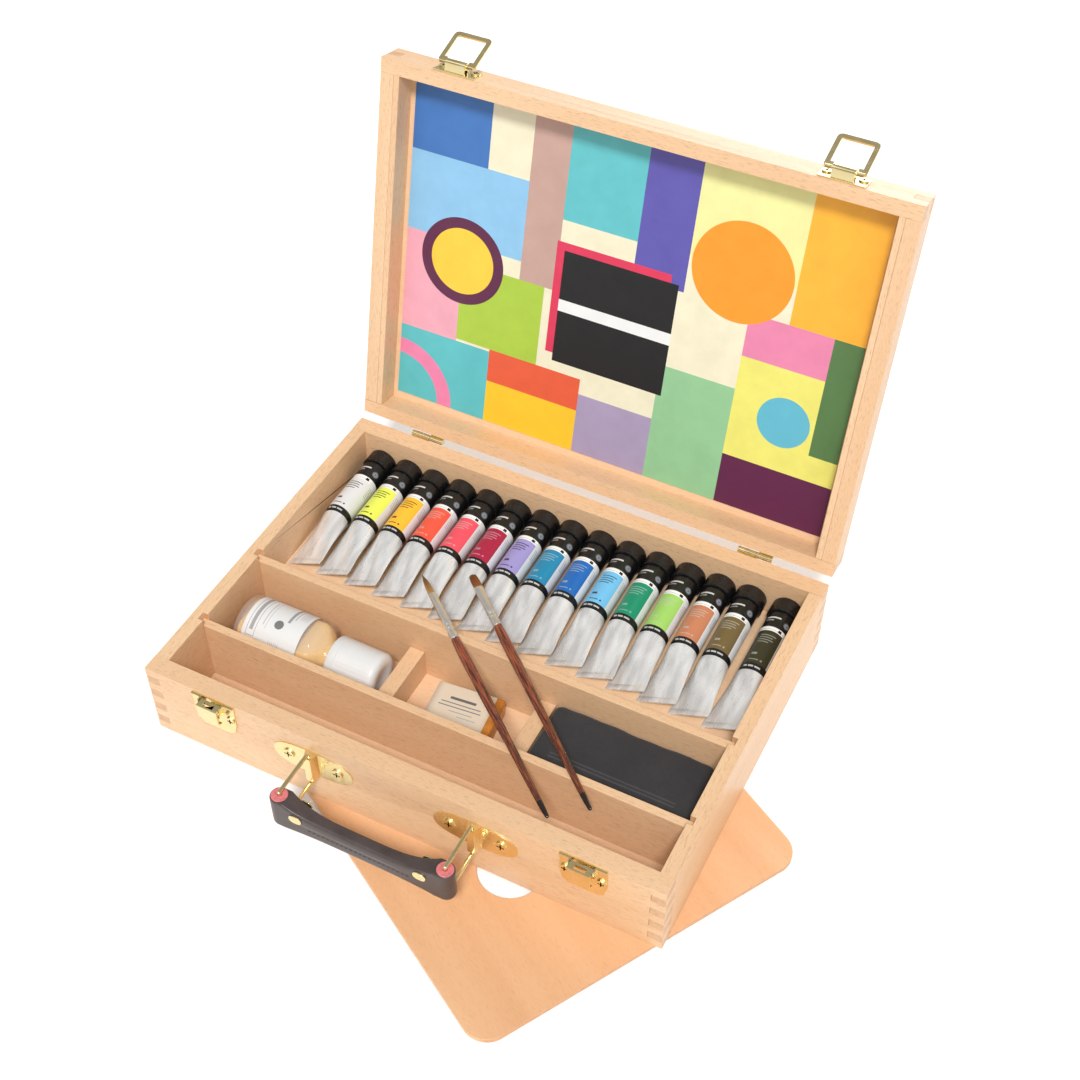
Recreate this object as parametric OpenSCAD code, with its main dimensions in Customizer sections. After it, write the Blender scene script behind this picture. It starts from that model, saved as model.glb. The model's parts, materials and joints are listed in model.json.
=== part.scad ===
// Wooden box for a set of gouache colours: a finger-jointed case with a hinged lid,
// a folding handle, two pull-down catches, tubes, brushes, bottle, soap, pouch and palette.
// Units are millimetres, +Z is up, the palette's underside is z = 0 and the lid stands open.

/* [Base] */
// Outside width of the case, left to right
box_w = 380; // [370:1:390]
// Outside depth of the case, front to back
box_d = 277; // [270:1:284]
// Outside height of the base walls
base_h = 63; // [61:0.5:66]
// Thickness of the base's left and right walls
side_t = 10.3; // [9.5:0.1:11]
// Thickness of the base's front and back walls
front_t = 12.8; // [12:0.1:13.5]
// Number of finger-joint steps at a base corner, an odd number
base_fingers = 9; // [7:2:11]
// Thickness of the bottom board
floor_t = 4; // [3:0.5:4.5]
// Height of the bottom board's underside above the walls' lower edges
floor_rise = 1.5; // [1:0.25:2]
// Depth of the grooves that hold the boards
groove = 4; // [3:0.5:5]
// Height of the tube board's top above the walls' lower edges
tube_floor_top = 27.5; // [26:0.5:28.5]
// Thickness of the tube board
tube_floor_t = 3; // [2.5:0.5:4]
// Depth of the tube board's grooves
tube_groove = 2.5; // [2:0.25:3]

/* [Dividers] */
// Thickness of the two long dividers
div_t = 6; // [5:0.5:7]
// Height of the long dividers' tops above the walls' lower edges
div_top = 57.5; // [56.5:0.5:58.5]
// Front face of the rear divider, from the case's centre
div_rear_y = -19; // [-20:0.5:-18]
// Front face of the front divider, from the case's centre
div_front_y = -86.5; // [-88:0.5:-86]
// Depth of the slots that the long dividers slide into
div_slot = 4; // [3:0.5:5]
// Thickness of the short cross dividers
cross_t = 11.5; // [10:0.5:12]
// Height of the short cross dividers above the bottom board
cross_h = 24.5; // [22:0.5:27]
// Centre of the left cross divider
cross_left_x = -51.5; // [-52:0.5:-50]
// Centre of the right cross divider
cross_right_x = 51; // [50:0.5:52]

/* [Lid] */
// Height of the lid walls
lid_h = 22.5; // [21.5:0.5:24]
// Thickness of the lid's front and back walls
lid_front_t = 10.4; // [9.5:0.1:11]
// Gap between lid and base when closed
lid_gap = 0.2; // [0.1:0.05:0.3]
// Number of finger-joint steps at a lid corner, an odd number
lid_fingers = 3; // [3:2:5]
// Angle that the lid stands open
lid_angle = 103; // [98:1:106]
// Thickness of the lid board
lid_board_t = 3; // [2.5:0.5:3.5]
// Depth of the lid board's outer face below the lid walls' top
lid_board_drop = 1; // [0.5:0.25:1.5]
// Thickness of the card on the lid board
card_t = 0.8; // [0.6:0.1:1]
// Width of the card on the lid board
card_w = 343; // [338:1:345]
// Depth of the card on the lid board
card_d = 244; // [238:1:246]
// Thickness of the strips inside the lid's left and right walls
strip_t = 4.4; // [3.5:0.1:4.8]

/* [Hinges] */
// Distance of each hinge's centre from the case's centre
hinge_x = 133.4; // [130:0.2:136]
// Length of each hinge along its pin
hinge_w = 26; // [24:0.5:28]
// Distance of the hinge axis behind the back faces
hinge_off = 3.5; // [3.4:0.05:3.8]
// Radius of the hinge barrel
barrel_r = 2.2; // [2:0.05:2.3]
// Radius of the hinge pin
hinge_pin_r = 1; // [0.8:0.05:1.1]
// Thickness of a hinge leaf
leaf_t = 1.1; // [0.9:0.1:1.2]
// Height of a hinge leaf
leaf_h = 17; // [15:0.5:18]
// Length of the base's share of the barrel
base_knuckle = 15; // [14:0.5:16]
// End gap between two knuckles
knuckle_gap = 0.3; // [0.2:0.05:0.4]
// Radial clearance of every pin in its bore
run_gap = 0.05; // [0.03:0.01:0.08]

/* [Catches] */
// Distance of each catch's centre from the case's centre
catch_x = 135.3; // [134:0.1:137]
// Width of a catch plate
plate_w = 32.5; // [32:0.5:34]
// Height of a catch plate
plate_h = 30; // [29:0.5:31]
// Thickness of the catch and handle plates
plate_t = 1; // [0.8:0.1:1.1]
// Distance of the catch plate's top below the rim
plate_drop = 1.5; // [1.2:0.1:2]
// Width of the rounded lower corners of a catch plate
plate_corner = 6; // [5:0.5:7]
// Distance of a catch screw from the catch's centre
catch_screw_x = 12.4; // [12.2:0.1:12.8]
// Distance of the catch screws below the rim
catch_screw_drop = 16.5; // [15:0.5:18]
// Width of a lever
lever_w = 15.5; // [15:0.1:16]
// Distance that a lever stands out from the wall
lever_out = 8.5; // [8.2:0.1:8.8]
// Thickness of the lever's sheet
lever_t = 1; // [0.8:0.1:1.1]
// Distance of the lever's pivot below the rim
lever_drop = 4.5; // [4.3:0.1:4.7]
// Distance of the lever's pivot out from the wall
lever_pivot_out = 3.5; // [3.5:0.05:3.7]
// Radius of a lever's pin
lever_pin_r = 0.8; // [0.7:0.05:0.85]
// Distance from the rim to the lever's lower end
lever_low = 18.2; // [17.8:0.1:18.4]
// Thickness of a pivot ear
ear_t = 1; // [0.8:0.1:1.1]
// Side gap between lever and ear
ear_gap = 0.3; // [0.25:0.05:0.35]
// Width of the window in the lever's top
window_w = 8; // [7:0.5:9]
// Depth of that window, out from the wall
window_d = 3.2; // [2.4:0.1:3.4]

/* [Catch rings] */
// Height of a ring's pivot above the lid's lower edge
ring_pivot_h = 5; // [4.9:0.05:5.2]
// Distance of a ring's pivot out from the lid's front face
ring_pivot_out = 6.5; // [6.3:0.1:6.7]
// Width of a ring
ring_w = 28; // [27.5:0.25:28.5]
// Length of a ring from its pivot to its far edge
ring_l = 27.2; // [27:0.1:27.6]
// Width of a ring's strip
ring_strip = 3.3; // [3.1:0.1:3.5]
// Thickness of a ring's strip
ring_t = 1.6; // [1.4:0.1:1.8]
// Radius of a ring's pivot bar
ring_bar_r = 1.2; // [1.1:0.05:1.25]
// Angle between a resting ring and the lid's front face
ring_lean = 28.3; // [26:0.1:30]
// Width of the bracket that holds a ring
bracket_w = 15; // [14.5:0.25:15.5]
// Height of the plate under a ring's bracket
bracket_plate_h = 13; // [12:0.5:14]
// Width of the plate under a ring's bracket
bracket_plate_w = 31.5; // [31:0.5:33]
// Distance of the plate above the lid's lower edge
bracket_drop = 1.5; // [1.2:0.1:1.8]
// Radius of the bracket's curl
curl_r = 2.6; // [2.4:0.1:2.7]

/* [Handle] */
// Distance of each handle bracket from the case's centre
handle_x = 60; // [58:0.5:62]
// Distance of the handle's middle below the rim
handle_drop = 24.5; // [24:0.25:25.5]
// Width of a handle bracket plate
handle_plate_w = 60; // [57:0.5:62]
// Height of a handle bracket plate at its middle
handle_plate_h = 24; // [23:0.5:25]
// Distance of a bracket screw from the bracket's middle
handle_screw_x = 18.5; // [17:0.5:20]
// Distance of the bail's inner pivot out from the wall
bail_out = 4; // [3.8:0.1:4.4]
// Distance between the two pivots of a bail
bail_l = 34; // [33:0.5:36]
// Radius of the bail wire
wire_r = 1.4; // [1.3:0.05:1.5]
// Half of the height between a bail's legs
bail_half = 14.9; // [14.8:0.05:15.3]
// Height of the grip and of the brackets' folds
grip_h = 26; // [25:0.25:26.2]
// Thickness of the grip at its ends
grip_t = 13; // [12.4:0.2:13.6]
// Depth of the hollow in the grip's back, for the fingers
grip_hollow = 3.5; // [2.5:0.1:4.5]
// Drop of the grip's top between its ends
grip_sag = 7; // [5:0.5:9]
// Height of the grip's rivets above its middle
rivet_rise = 3.6; // [3:0.1:4]
// Radius of the core inside each end of the grip
core_r = 5.6; // [5.2:0.1:5.8]
// Distance of a rivet from the grip's middle
rivet_x = 45; // [43:0.5:46]

/* [Tubes] */
// Gap from the case's left side to the middle of the first tube
tube_left = 15.7; // [15.2:0.1:15.9]
// Gap from the middle of the last tube to the case's right side
tube_right = 12.3; // [11.9:0.1:12.7]
// Distance between the middles of the last two tubes
tube_last_step = 27.2; // [26.8:0.1:27.6]
// Gap between neighbouring tube caps
cap_gap = 0.2; // [0.15:0.05:0.5]
// Step from the side of a tube's cap in to the side of the tube
cap_over = 1.3; // [1:0.1:1.6]
// Length of a tube's cap
cap_l = 13; // [12:0.5:14]
// Length of a tube with its cap
tube_l = 115.5; // [112:0.5:118]
// Length of the flattening tail
tail_l = 49; // [45:0.5:53]
// Width of the folded end
crimp_w = 32; // [31:0.5:33]
// Thickness of the folded end
crimp_t = 1.6; // [1.4:0.1:1.8]
// Length of the folded end
crimp_l = 5; // [4:0.5:6]
// Turn of the folded end about the tube's axis
crimp_turn = 25; // [24:0.5:26]

/* [Bottle] */
// Radius of the bottle
bottle_r = 22; // [21:0.25:22.5]
// Left end of the bottle
bottle_x = -172; // [-174:0.5:-170]
// Centre line of the bottle
bottle_y = -51; // [-52:0.5:-50]
// Length of the bottle's straight body
bottle_l = 60; // [58:0.5:62]
// Length of the bottle's shoulder
shoulder_l = 9; // [8:0.5:10]
// Radius of the bottle's neck
neck_r = 12.5; // [11.5:0.25:13]
// Length of the bottle's neck
neck_l = 20; // [19:0.5:21]
// Wall thickness of the bottle
glass_t = 1.6; // [1.2:0.1:2]
// Radius of the bottle's cap
bottle_cap_r = 17.5; // [17:0.25:18.5]
// Length of the bottle's cap
bottle_cap_l = 38; // [36:0.5:40]
// Bare length of neck between shoulder and cap
neck_bare = 4; // [3:0.5:5]

/* [Soap and pouch] */
// Length of the soap
soap_w = 49; // [46:0.5:52]
// Width of the soap
soap_d = 35; // [32:0.5:37]
// Thickness of the soap
soap_h = 14; // [12:0.5:16]
// Centre of the soap, left to right
soap_x = -2; // [-3:0.5:0]
// Centre of the soap, front to back
soap_y = -43.5; // [-45:0.5:-43]
// Turn of the soap
soap_turn = 6; // [3:0.5:8]
// Length of the pouch
pouch_w = 116; // [113:0.5:117]
// Width of the pouch
pouch_d = 57; // [55:0.5:58]
// Thickness of the pouch
pouch_h = 32; // [28:0.5:34]
// Centre of the pouch, left to right
pouch_x = 117; // [116.5:0.25:117.5]
// Radius of the pouch's rounded corners
pouch_corner = 6; // [4:0.5:8]

/* [Brushes] */
// Length of the first brush
brush_1_l = 221; // [216:1:225]
// Length of the second brush
brush_2_l = 210; // [206:1:214]
// Handle end of the first brush, left to right
brush_1_end_x = 101.5; // [99:0.5:104]
// Gap from the front wall to the handle end of the first brush
brush_1_gap = 5.3; // [4:0.1:7]
// Handle end of the second brush, left to right
brush_2_end_x = 122.5; // [120:0.5:125]
// Gap from the front wall to the handle end of the second brush
brush_2_gap = 22.8; // [21:0.1:25]
// Turn of the first brush about the vertical
brush_1_turn = -39.5; // [-40:0.1:-39]
// Turn of the second brush about the vertical
brush_2_turn = -40.8; // [-41.5:0.1:-40.3]
// Bare length of the first brush's hair
hair_1_l = 21; // [19:0.5:23]
// Bare length of the second brush's hair
hair_2_l = 12.5; // [11:0.5:14]
// Length of the first brush's ferrule
ferrule_1_l = 44; // [42:0.5:46]
// Length of the second brush's ferrule
ferrule_2_l = 38; // [36:0.5:40]
// Radius of a ferrule at the hair
ferrule_r = 2.6; // [2.4:0.1:2.8]
// Radius of a ferrule at the handle
ferrule_big_r = 3; // [2.9:0.05:3.1]
// Half width of the flat brush at its hair
flat_w = 3.3; // [3.1:0.1:3.6]
// Half thickness of the flat brush at its hair
flat_t = 1.4; // [1.2:0.1:1.6]
// Largest radius of a handle
handle_r = 3.7; // [3.5:0.1:3.9]
// Radius of a handle near its end
handle_end_r = 1.9; // [1.7:0.1:2.1]
// Number of hairs across a brush, squared for the whole brush
hair_n = 13; // [13:1:14]

/* [Palette] */
// Length of the palette
palette_l = 348; // [340:1:354]
// Width of the palette
palette_w = 247; // [240:1:252]
// Thickness of the palette
palette_t = 4; // [3:0.5:5]
// Radius of the palette's corners
palette_corner = 17; // [14:1:22]
// Turn of the palette
palette_turn = -30.2; // [-32:0.2:-28]
// Centre of the palette, left to right
palette_x = 32; // [29:0.5:35]
// Centre of the palette, front to back
palette_y = -54.5; // [-57:0.5:-52]
// Radius of the palette's thumb hole
thumb_r = 22; // [20:0.5:24]
// Thumb hole from the palette's right end
thumb_end = 95; // [92:0.5:98]
// Thumb hole from the palette's front edge
thumb_side = 82.2; // [79:0.5:86]

/* [Hidden] */
eps = 0.01;
out = 1;
over = 2;
round_fn = 96;
small_fn = 48;
in_w = box_w - 2 * side_t;
in_d = box_d - 2 * front_t;
base_z = palette_t;
rim_z = base_z + base_h;
y_front = -box_d / 2;
y_back = box_d / 2;
floor_z = base_z + floor_rise;
floor_top = floor_z + floor_t;
board_top = base_z + tube_floor_top;
board_z = board_top - tube_floor_t;
div_z = base_z + div_top;
hinge_y = y_back + hinge_off;
lid_z = rim_z + lid_gap;
lid_top = lid_z + lid_h;
lid_in_d = box_d - 2 * lid_front_t;
lid_board_z = lid_top - lid_board_drop - lid_board_t;
card_z = lid_board_z - card_t;
lid_knuckle = hinge_w - base_knuckle - knuckle_gap;
plate_top = rim_z - plate_drop;
lever_z = rim_z - lever_drop;
lever_y = y_front - lever_pivot_out;
ring_z = lid_z + ring_pivot_h;
ring_y = y_front - ring_pivot_out;
handle_z = rim_z - handle_drop;
bail_y = y_front - bail_out;
grip_y = bail_y - bail_l;
tube_n = 15;
cap_y = y_back - front_t;
tube_first_x = tube_left - in_w / 2;
tube_last_x = in_w / 2 - tube_right;
tube_pitch = (tube_last_x - tube_last_step - tube_first_x) / (tube_n - 2);
cap_r = (tube_pitch - cap_gap) / 2;
tube_r = cap_r - cap_over;
tube_z = board_top + cap_r;
tube_end = cap_y - tube_l;
tail_y = tube_end + tail_l;
crimp_z = board_top + norm([crimp_w / 2 * sin(crimp_turn), crimp_t / 2 * cos(crimp_turn)]);
bottle_z = floor_top + bottle_r;
neck_x = bottle_x + bottle_l + shoulder_l;
bottle_cap_x = neck_x + neck_bare;
screw_r = 1.5;
screw_head_r = 3.4;
handle_head_r = 4.3;
slot_share = 1.3;
screw_head_t = 1.1;
screw_l = 9;
slot_w = 1;
slot_d = 0.8;

// A box between two opposite corners
module span(a, b) {
    translate(a)
        cube([b[0] - a[0], b[1] - a[1], b[2] - a[2]]);
}

// A cylinder along +X from a point
module rod_x(p, r, l, fn = small_fn) {
    translate(p)
        rotate([0, 90, 0])
            cylinder(r = r, h = l, $fn = fn);
}

// A cylinder along +Y from a point
module rod_y(p, r, l, fn = small_fn) {
    translate(p)
        rotate([-90, 0, 0])
            cylinder(r = r, h = l, $fn = fn);
}

// Turns closed-lid geometry into the open position
module opened() {
    translate([0, hinge_y, rim_z])
        rotate([-lid_angle, 0, 0])
            translate([0, -hinge_y, -rim_z])
                children();
}

// A front or back wall with its fingers
module wall_fb(side, z0, h, n, t_side, t_front) {
    yc = side * (box_d / 2 - t_front / 2);
    step = h / n;
    union() {
        translate([0, yc, z0 + h / 2])
            cube([box_w - 2 * t_side, t_front, h], center = true);
        for (i = [0 : 2 : n - 1])
            translate([0, yc, z0 + step * (i + 0.5)])
                cube([box_w, t_front, step], center = true);
    }
}

// A left or right wall with its fingers
module wall_lr(side, z0, h, n, t_side, t_front) {
    xc = side * (box_w / 2 - t_side / 2);
    step = h / n;
    union() {
        translate([xc, 0, z0 + h / 2])
            cube([t_side, box_d - 2 * t_front, h], center = true);
        for (i = [1 : 2 : n - 1])
            translate([xc, 0, z0 + step * (i + 0.5)])
                cube([t_side, box_d, step], center = true);
    }
}

// The space that the bottom board fills
module floor_space() {
    span([-in_w / 2 - groove, -in_d / 2 - groove, floor_z],
         [in_w / 2 + groove, in_d / 2 + groove, floor_top]);
}

// The space that the tube board fills
module board_space() {
    span([-in_w / 2 - tube_groove, div_rear_y + div_t - tube_groove, board_z],
         [in_w / 2 + tube_groove, in_d / 2 + tube_groove, board_top]);
}

// The space of one long divider's slots, open at the rim
module slot_space(y) {
    span([-in_w / 2 - div_slot, y, floor_top], [in_w / 2 + div_slot, y + div_t, rim_z + over]);
}

module base_front() {
    color([0.87, 0.72, 0.55])
        difference() {
            wall_fb(-1, base_z, base_h, base_fingers, side_t, front_t);
            floor_space();
            catch_screw_holes();
            handle_screw_holes();
        }
}

module base_back() {
    color([0.87, 0.72, 0.55])
        difference() {
            wall_fb(1, base_z, base_h, base_fingers, side_t, front_t);
            floor_space();
            board_space();
            base_leaf_holes();
        }
}

module base_left() {
    color([0.87, 0.72, 0.55])
        difference() {
            wall_lr(-1, base_z, base_h, base_fingers, side_t, front_t);
            floor_space();
            board_space();
            slot_space(div_rear_y);
            slot_space(div_front_y);
        }
}

module base_right() {
    color([0.87, 0.72, 0.55])
        difference() {
            wall_lr(1, base_z, base_h, base_fingers, side_t, front_t);
            floor_space();
            board_space();
            slot_space(div_rear_y);
            slot_space(div_front_y);
        }
}

module base_floor() {
    color([0.88, 0.74, 0.58])
        floor_space();
}

module tube_floor() {
    color([0.88, 0.74, 0.58])
        board_space();
}

module divider_rear() {
    color([0.88, 0.74, 0.58])
        difference() {
            span([-in_w / 2 - div_slot, div_rear_y, floor_top],
                 [in_w / 2 + div_slot, div_rear_y + div_t, div_z]);
            board_space();
        }
}

module divider_front() {
    color([0.88, 0.74, 0.58])
        span([-in_w / 2 - div_slot, div_front_y, floor_top],
             [in_w / 2 + div_slot, div_front_y + div_t, div_z]);
}

module cross_dividers() {
    color([0.9, 0.77, 0.6])
        for (x = [cross_left_x, cross_right_x])
            span([x - cross_t / 2, div_front_y + div_t, floor_top],
                 [x + cross_t / 2, div_rear_y, floor_top + cross_h]);
}

// The space that the lid board fills
module lid_board_space() {
    span([-in_w / 2 - groove, -lid_in_d / 2 - groove, lid_board_z],
         [in_w / 2 + groove, lid_in_d / 2 + groove, lid_board_z + lid_board_t]);
}

module lid_front() {
    color([0.87, 0.72, 0.55])
        opened()
            difference() {
                wall_fb(-1, lid_z, lid_h, lid_fingers, side_t, lid_front_t);
                lid_board_space();
                ring_screw_holes();
            }
}

module lid_back() {
    color([0.87, 0.72, 0.55])
        opened()
            difference() {
                wall_fb(1, lid_z, lid_h, lid_fingers, side_t, lid_front_t);
                lid_board_space();
                lid_leaf_holes();
            }
}

module lid_left() {
    color([0.87, 0.72, 0.55])
        opened()
            difference() {
                wall_lr(-1, lid_z, lid_h, lid_fingers, side_t, lid_front_t);
                lid_board_space();
            }
}

module lid_right() {
    color([0.87, 0.72, 0.55])
        opened()
            difference() {
                wall_lr(1, lid_z, lid_h, lid_fingers, side_t, lid_front_t);
                lid_board_space();
            }
}

module lid_panel() {
    color([0.88, 0.74, 0.58])
        opened()
            lid_board_space();
}

module lid_card() {
    color([0.6, 0.8, 0.8])
        opened()
            span([-card_w / 2, -card_d / 2, card_z], [card_w / 2, card_d / 2, lid_board_z]);
}

module lid_strips() {
    color([0.89, 0.75, 0.58])
        opened()
            for (s = [-1, 1])
                translate([s * (in_w / 2 - strip_t / 2), 0, (lid_z + lid_board_z) / 2])
                    cube([strip_t, lid_in_d, lid_board_z - lid_z], center = true);
}

// One knuckle of a hinge with its bore
module knuckle(x, l) {
    difference() {
        rod_x([x, hinge_y, rim_z], barrel_r, l);
        rod_x([x - out, hinge_y, rim_z], hinge_pin_r + run_gap, l + 2 * out);
    }
}

leaf_screw_x = 8;
leaf_screw_h = 10;
leaf_screw_r = 1.2;
leaf_screw_l = 8;
leaf_head_r = 2.4;
leaf_head_t = 0.6;

// Shanks of the base leaves' screws
module base_leaf_holes() {
    for (s = [-1, 1])
        for (dx = [-leaf_screw_x, leaf_screw_x])
            rod_y([s * hinge_x + dx, y_back - leaf_screw_l, rim_z - leaf_screw_h], leaf_screw_r,
                  leaf_screw_l + leaf_t);
}

// Shanks of the lid leaves' screws
module lid_leaf_holes() {
    for (s = [-1, 1])
        for (dx = [-leaf_screw_x, leaf_screw_x])
            rod_y([s * hinge_x + dx, y_back - leaf_screw_l, rim_z + leaf_screw_h], leaf_screw_r,
                  leaf_screw_l + leaf_t);
}

module hinge_base_leaves() {
    color([0.85, 0.68, 0.3])
        difference() {
            union() {
                for (s = [-1, 1]) {
                    x0 = s * hinge_x - hinge_w / 2;
                    span([x0, y_back, rim_z - leaf_h], [x0 + hinge_w, y_back + leaf_t, rim_z - barrel_r]);
                    difference() {
                        span([x0, y_back, rim_z - barrel_r - eps],
                             [x0 + base_knuckle, hinge_y, rim_z - barrel_r / 2]);
                        rod_x([x0 - out, hinge_y, rim_z], hinge_pin_r + run_gap, hinge_w);
                    }
                    knuckle(x0, base_knuckle);
                }
            }
            base_leaf_holes();
        }
}

module hinge_lid_leaves() {
    color([0.85, 0.68, 0.3])
        opened()
            difference() {
                union() {
                    for (s = [-1, 1]) {
                        x0 = s * hinge_x - hinge_w / 2;
                        xk = x0 + base_knuckle + knuckle_gap;
                        span([x0, y_back, rim_z + barrel_r],
                             [x0 + hinge_w, y_back + leaf_t, rim_z + leaf_h]);
                        difference() {
                            span([xk, y_back, rim_z + barrel_r / 2],
                                 [x0 + hinge_w, hinge_y, rim_z + barrel_r + eps]);
                            rod_x([x0 - out, hinge_y, rim_z], hinge_pin_r + run_gap, hinge_w + over);
                        }
                        knuckle(xk, lid_knuckle);
                    }
                }
                lid_leaf_holes();
            }
}

module pins() {
    color([0.8, 0.64, 0.28])
        for (s = [-1, 1]) {
            rod_x([s * hinge_x - hinge_w / 2, hinge_y, rim_z], hinge_pin_r, hinge_w);
            rod_x([s * catch_x - lever_w / 2 - ear_gap - ear_t, lever_y, lever_z], lever_pin_r,
                  lever_w + 2 * ear_gap + 2 * ear_t);
        }
}

// Shanks of the catch screws
module catch_screw_holes() {
    for (s = [-1, 1])
        for (dx = [-catch_screw_x, catch_screw_x])
            rod_y([s * catch_x + dx, y_front - plate_t, rim_z - catch_screw_drop], screw_r,
                  screw_l + plate_t);
}

// Shanks of the handle bracket screws
module handle_screw_holes() {
    for (s = [-1, 1])
        for (dx = [-handle_screw_x, handle_screw_x])
            rod_y([s * handle_x + dx, y_front - plate_t, handle_z], screw_r, screw_l + plate_t);
}

lip_h = 1.2;
lip_w = 7;
lip_out = 1.4;
ear_l = 9;
ear_tip = 1.6;

module catch_plates() {
    color([0.88, 0.72, 0.36])
        difference() {
            union() {
                for (s = [-1, 1])
                    translate([s * catch_x, y_front, plate_top]) {
                        rotate([90, 0, 0])
                            linear_extrude(height = plate_t)
                                polygon([[-plate_w / 2, 0], [plate_w / 2, 0],
                                         [plate_w / 2, -plate_h * 0.62],
                                         [plate_w / 2 - plate_corner * 0.35,
                                          -plate_h + plate_corner * 0.45],
                                         [plate_w / 2 - plate_corner, -plate_h],
                                         [-plate_w / 2 + plate_corner, -plate_h],
                                         [-plate_w / 2 + plate_corner * 0.35,
                                          -plate_h + plate_corner * 0.45],
                                         [-plate_w / 2, -plate_h * 0.62]]);
                        for (t = [-1, 1]) {
                            translate([t * (plate_w / 2 - lip_w / 2), -plate_t - lip_out / 2 + eps / 2,
                                       -lip_h / 2])
                                cube([lip_w, lip_out + eps, lip_h], center = true);
                            translate([t * (lever_w / 2 + ear_gap + ear_t / 2), 0, 0])
                                rotate([90, 0, -90])
                                    translate([0, 0, -ear_t / 2])
                                        linear_extrude(height = ear_t)
                                            polygon([[plate_t - eps, 0], [lever_pivot_out + ear_tip, 0],
                                                     [lever_pivot_out + ear_tip + 1, -2],
                                                     [lever_pivot_out + ear_tip, -ear_l + 2],
                                                     [plate_t - eps, -ear_l]]);
                        }
                    }
            }
            catch_screw_holes();
            for (s = [-1, 1])
                rod_x([s * catch_x - lever_w, lever_y, lever_z], lever_pin_r, 2 * lever_w);
        }
}

// Side view of the lever's bent sheet: distance out from the wall, height from the rim
module lever_sheet() {
    translate([0, y_front, rim_z])
        rotate([90, 0, -90])
            translate([0, 0, -lever_w / 2])
                linear_extrude(height = lever_w)
                    polygon([[lever_pivot_out - 1.1, -2.5], [lever_out - 0.6, -2.5], [lever_out, -3.1],
                             [lever_out, -lever_low + 4], [lever_out - 0.8, -lever_low + 1.6],
                             [lever_out - 2.4, -lever_low + 0.3], [lever_out - 4, -lever_low],
                             [lever_out - 4, -lever_low + lever_t],
                             [lever_out - 2.8, -lever_low + lever_t + 0.3],
                             [lever_out - 1.7, -lever_low + 2.3], [lever_out - lever_t, -lever_low + 4],
                             [lever_out - lever_t, -2.5 - lever_t],
                             [lever_pivot_out - 1.1, -2.5 - lever_t]]);
}

cheek_t = 1;

// One lever with its two cheeks, bored for the pin
module lever(x) {
    translate([x, 0, 0])
        difference() {
            union() {
                lever_sheet();
                for (t = [-1, 1])
                    translate([t * (lever_w / 2 - cheek_t / 2), y_front, rim_z])
                        rotate([90, 0, -90])
                            translate([0, 0, -cheek_t / 2])
                                linear_extrude(height = cheek_t)
                                    polygon([[lever_pivot_out - 1.1, -2.6], [lever_out - 0.5, -2.6],
                                             [lever_out - 0.5, -lever_low + 4],
                                             [lever_out - 1.4, -lever_low + 4],
                                             [lever_pivot_out + 0.6, -lever_drop - 1.8],
                                             [lever_pivot_out - 1.2, -lever_drop - 1.5],
                                             [lever_pivot_out - 1.8, -lever_drop]]);
            }
            rod_x([-lever_w, lever_y, lever_z], lever_pin_r + run_gap, 2 * lever_w);
            translate([0, y_front - lever_out + 1.1 + window_d / 2, rim_z - 2.5])
                cube([window_w, window_d, 3], center = true);
        }
}

module lever_left() {
    color([0.9, 0.78, 0.45])
        lever(-catch_x);
}

module lever_right() {
    color([0.9, 0.78, 0.45])
        lever(catch_x);
}

ring_screw_x = 12;
ring_screw_h = 10.2;
ring_head_r = 3.2;

// Shanks of the screws under the ring brackets
module ring_screw_holes() {
    for (s = [-1, 1])
        for (dx = [-ring_screw_x, ring_screw_x])
            rod_y([s * catch_x + dx, y_front - plate_t, lid_z + ring_screw_h], screw_r,
                  screw_l - over + plate_t);
}

module lid_catch_brackets() {
    color([0.88, 0.72, 0.36])
        opened()
            difference() {
                union() {
                    for (s = [-1, 1]) {
                        plate_low = lid_z + bracket_drop;
                        span([s * catch_x - bracket_plate_w / 2, y_front - plate_t, plate_low],
                             [s * catch_x + bracket_plate_w / 2, y_front, plate_low + bracket_plate_h]);
                        rod_x([s * catch_x - bracket_w / 2, ring_y, ring_z], curl_r, bracket_w);
                        span([s * catch_x - bracket_w / 2, ring_y, ring_z - curl_r],
                             [s * catch_x + bracket_w / 2, y_front - plate_t + eps,
                              ring_z - curl_r + plate_t]);
                        span([s * catch_x - bracket_w / 2, ring_y, ring_z + curl_r - plate_t],
                             [s * catch_x + bracket_w / 2, y_front - plate_t + eps, ring_z + curl_r]);
                    }
                }
                ring_screw_holes();
                for (s = [-1, 1])
                    rod_x([s * catch_x - bracket_w, ring_y, ring_z], ring_bar_r + run_gap, 2 * bracket_w);
            }
}

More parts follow.
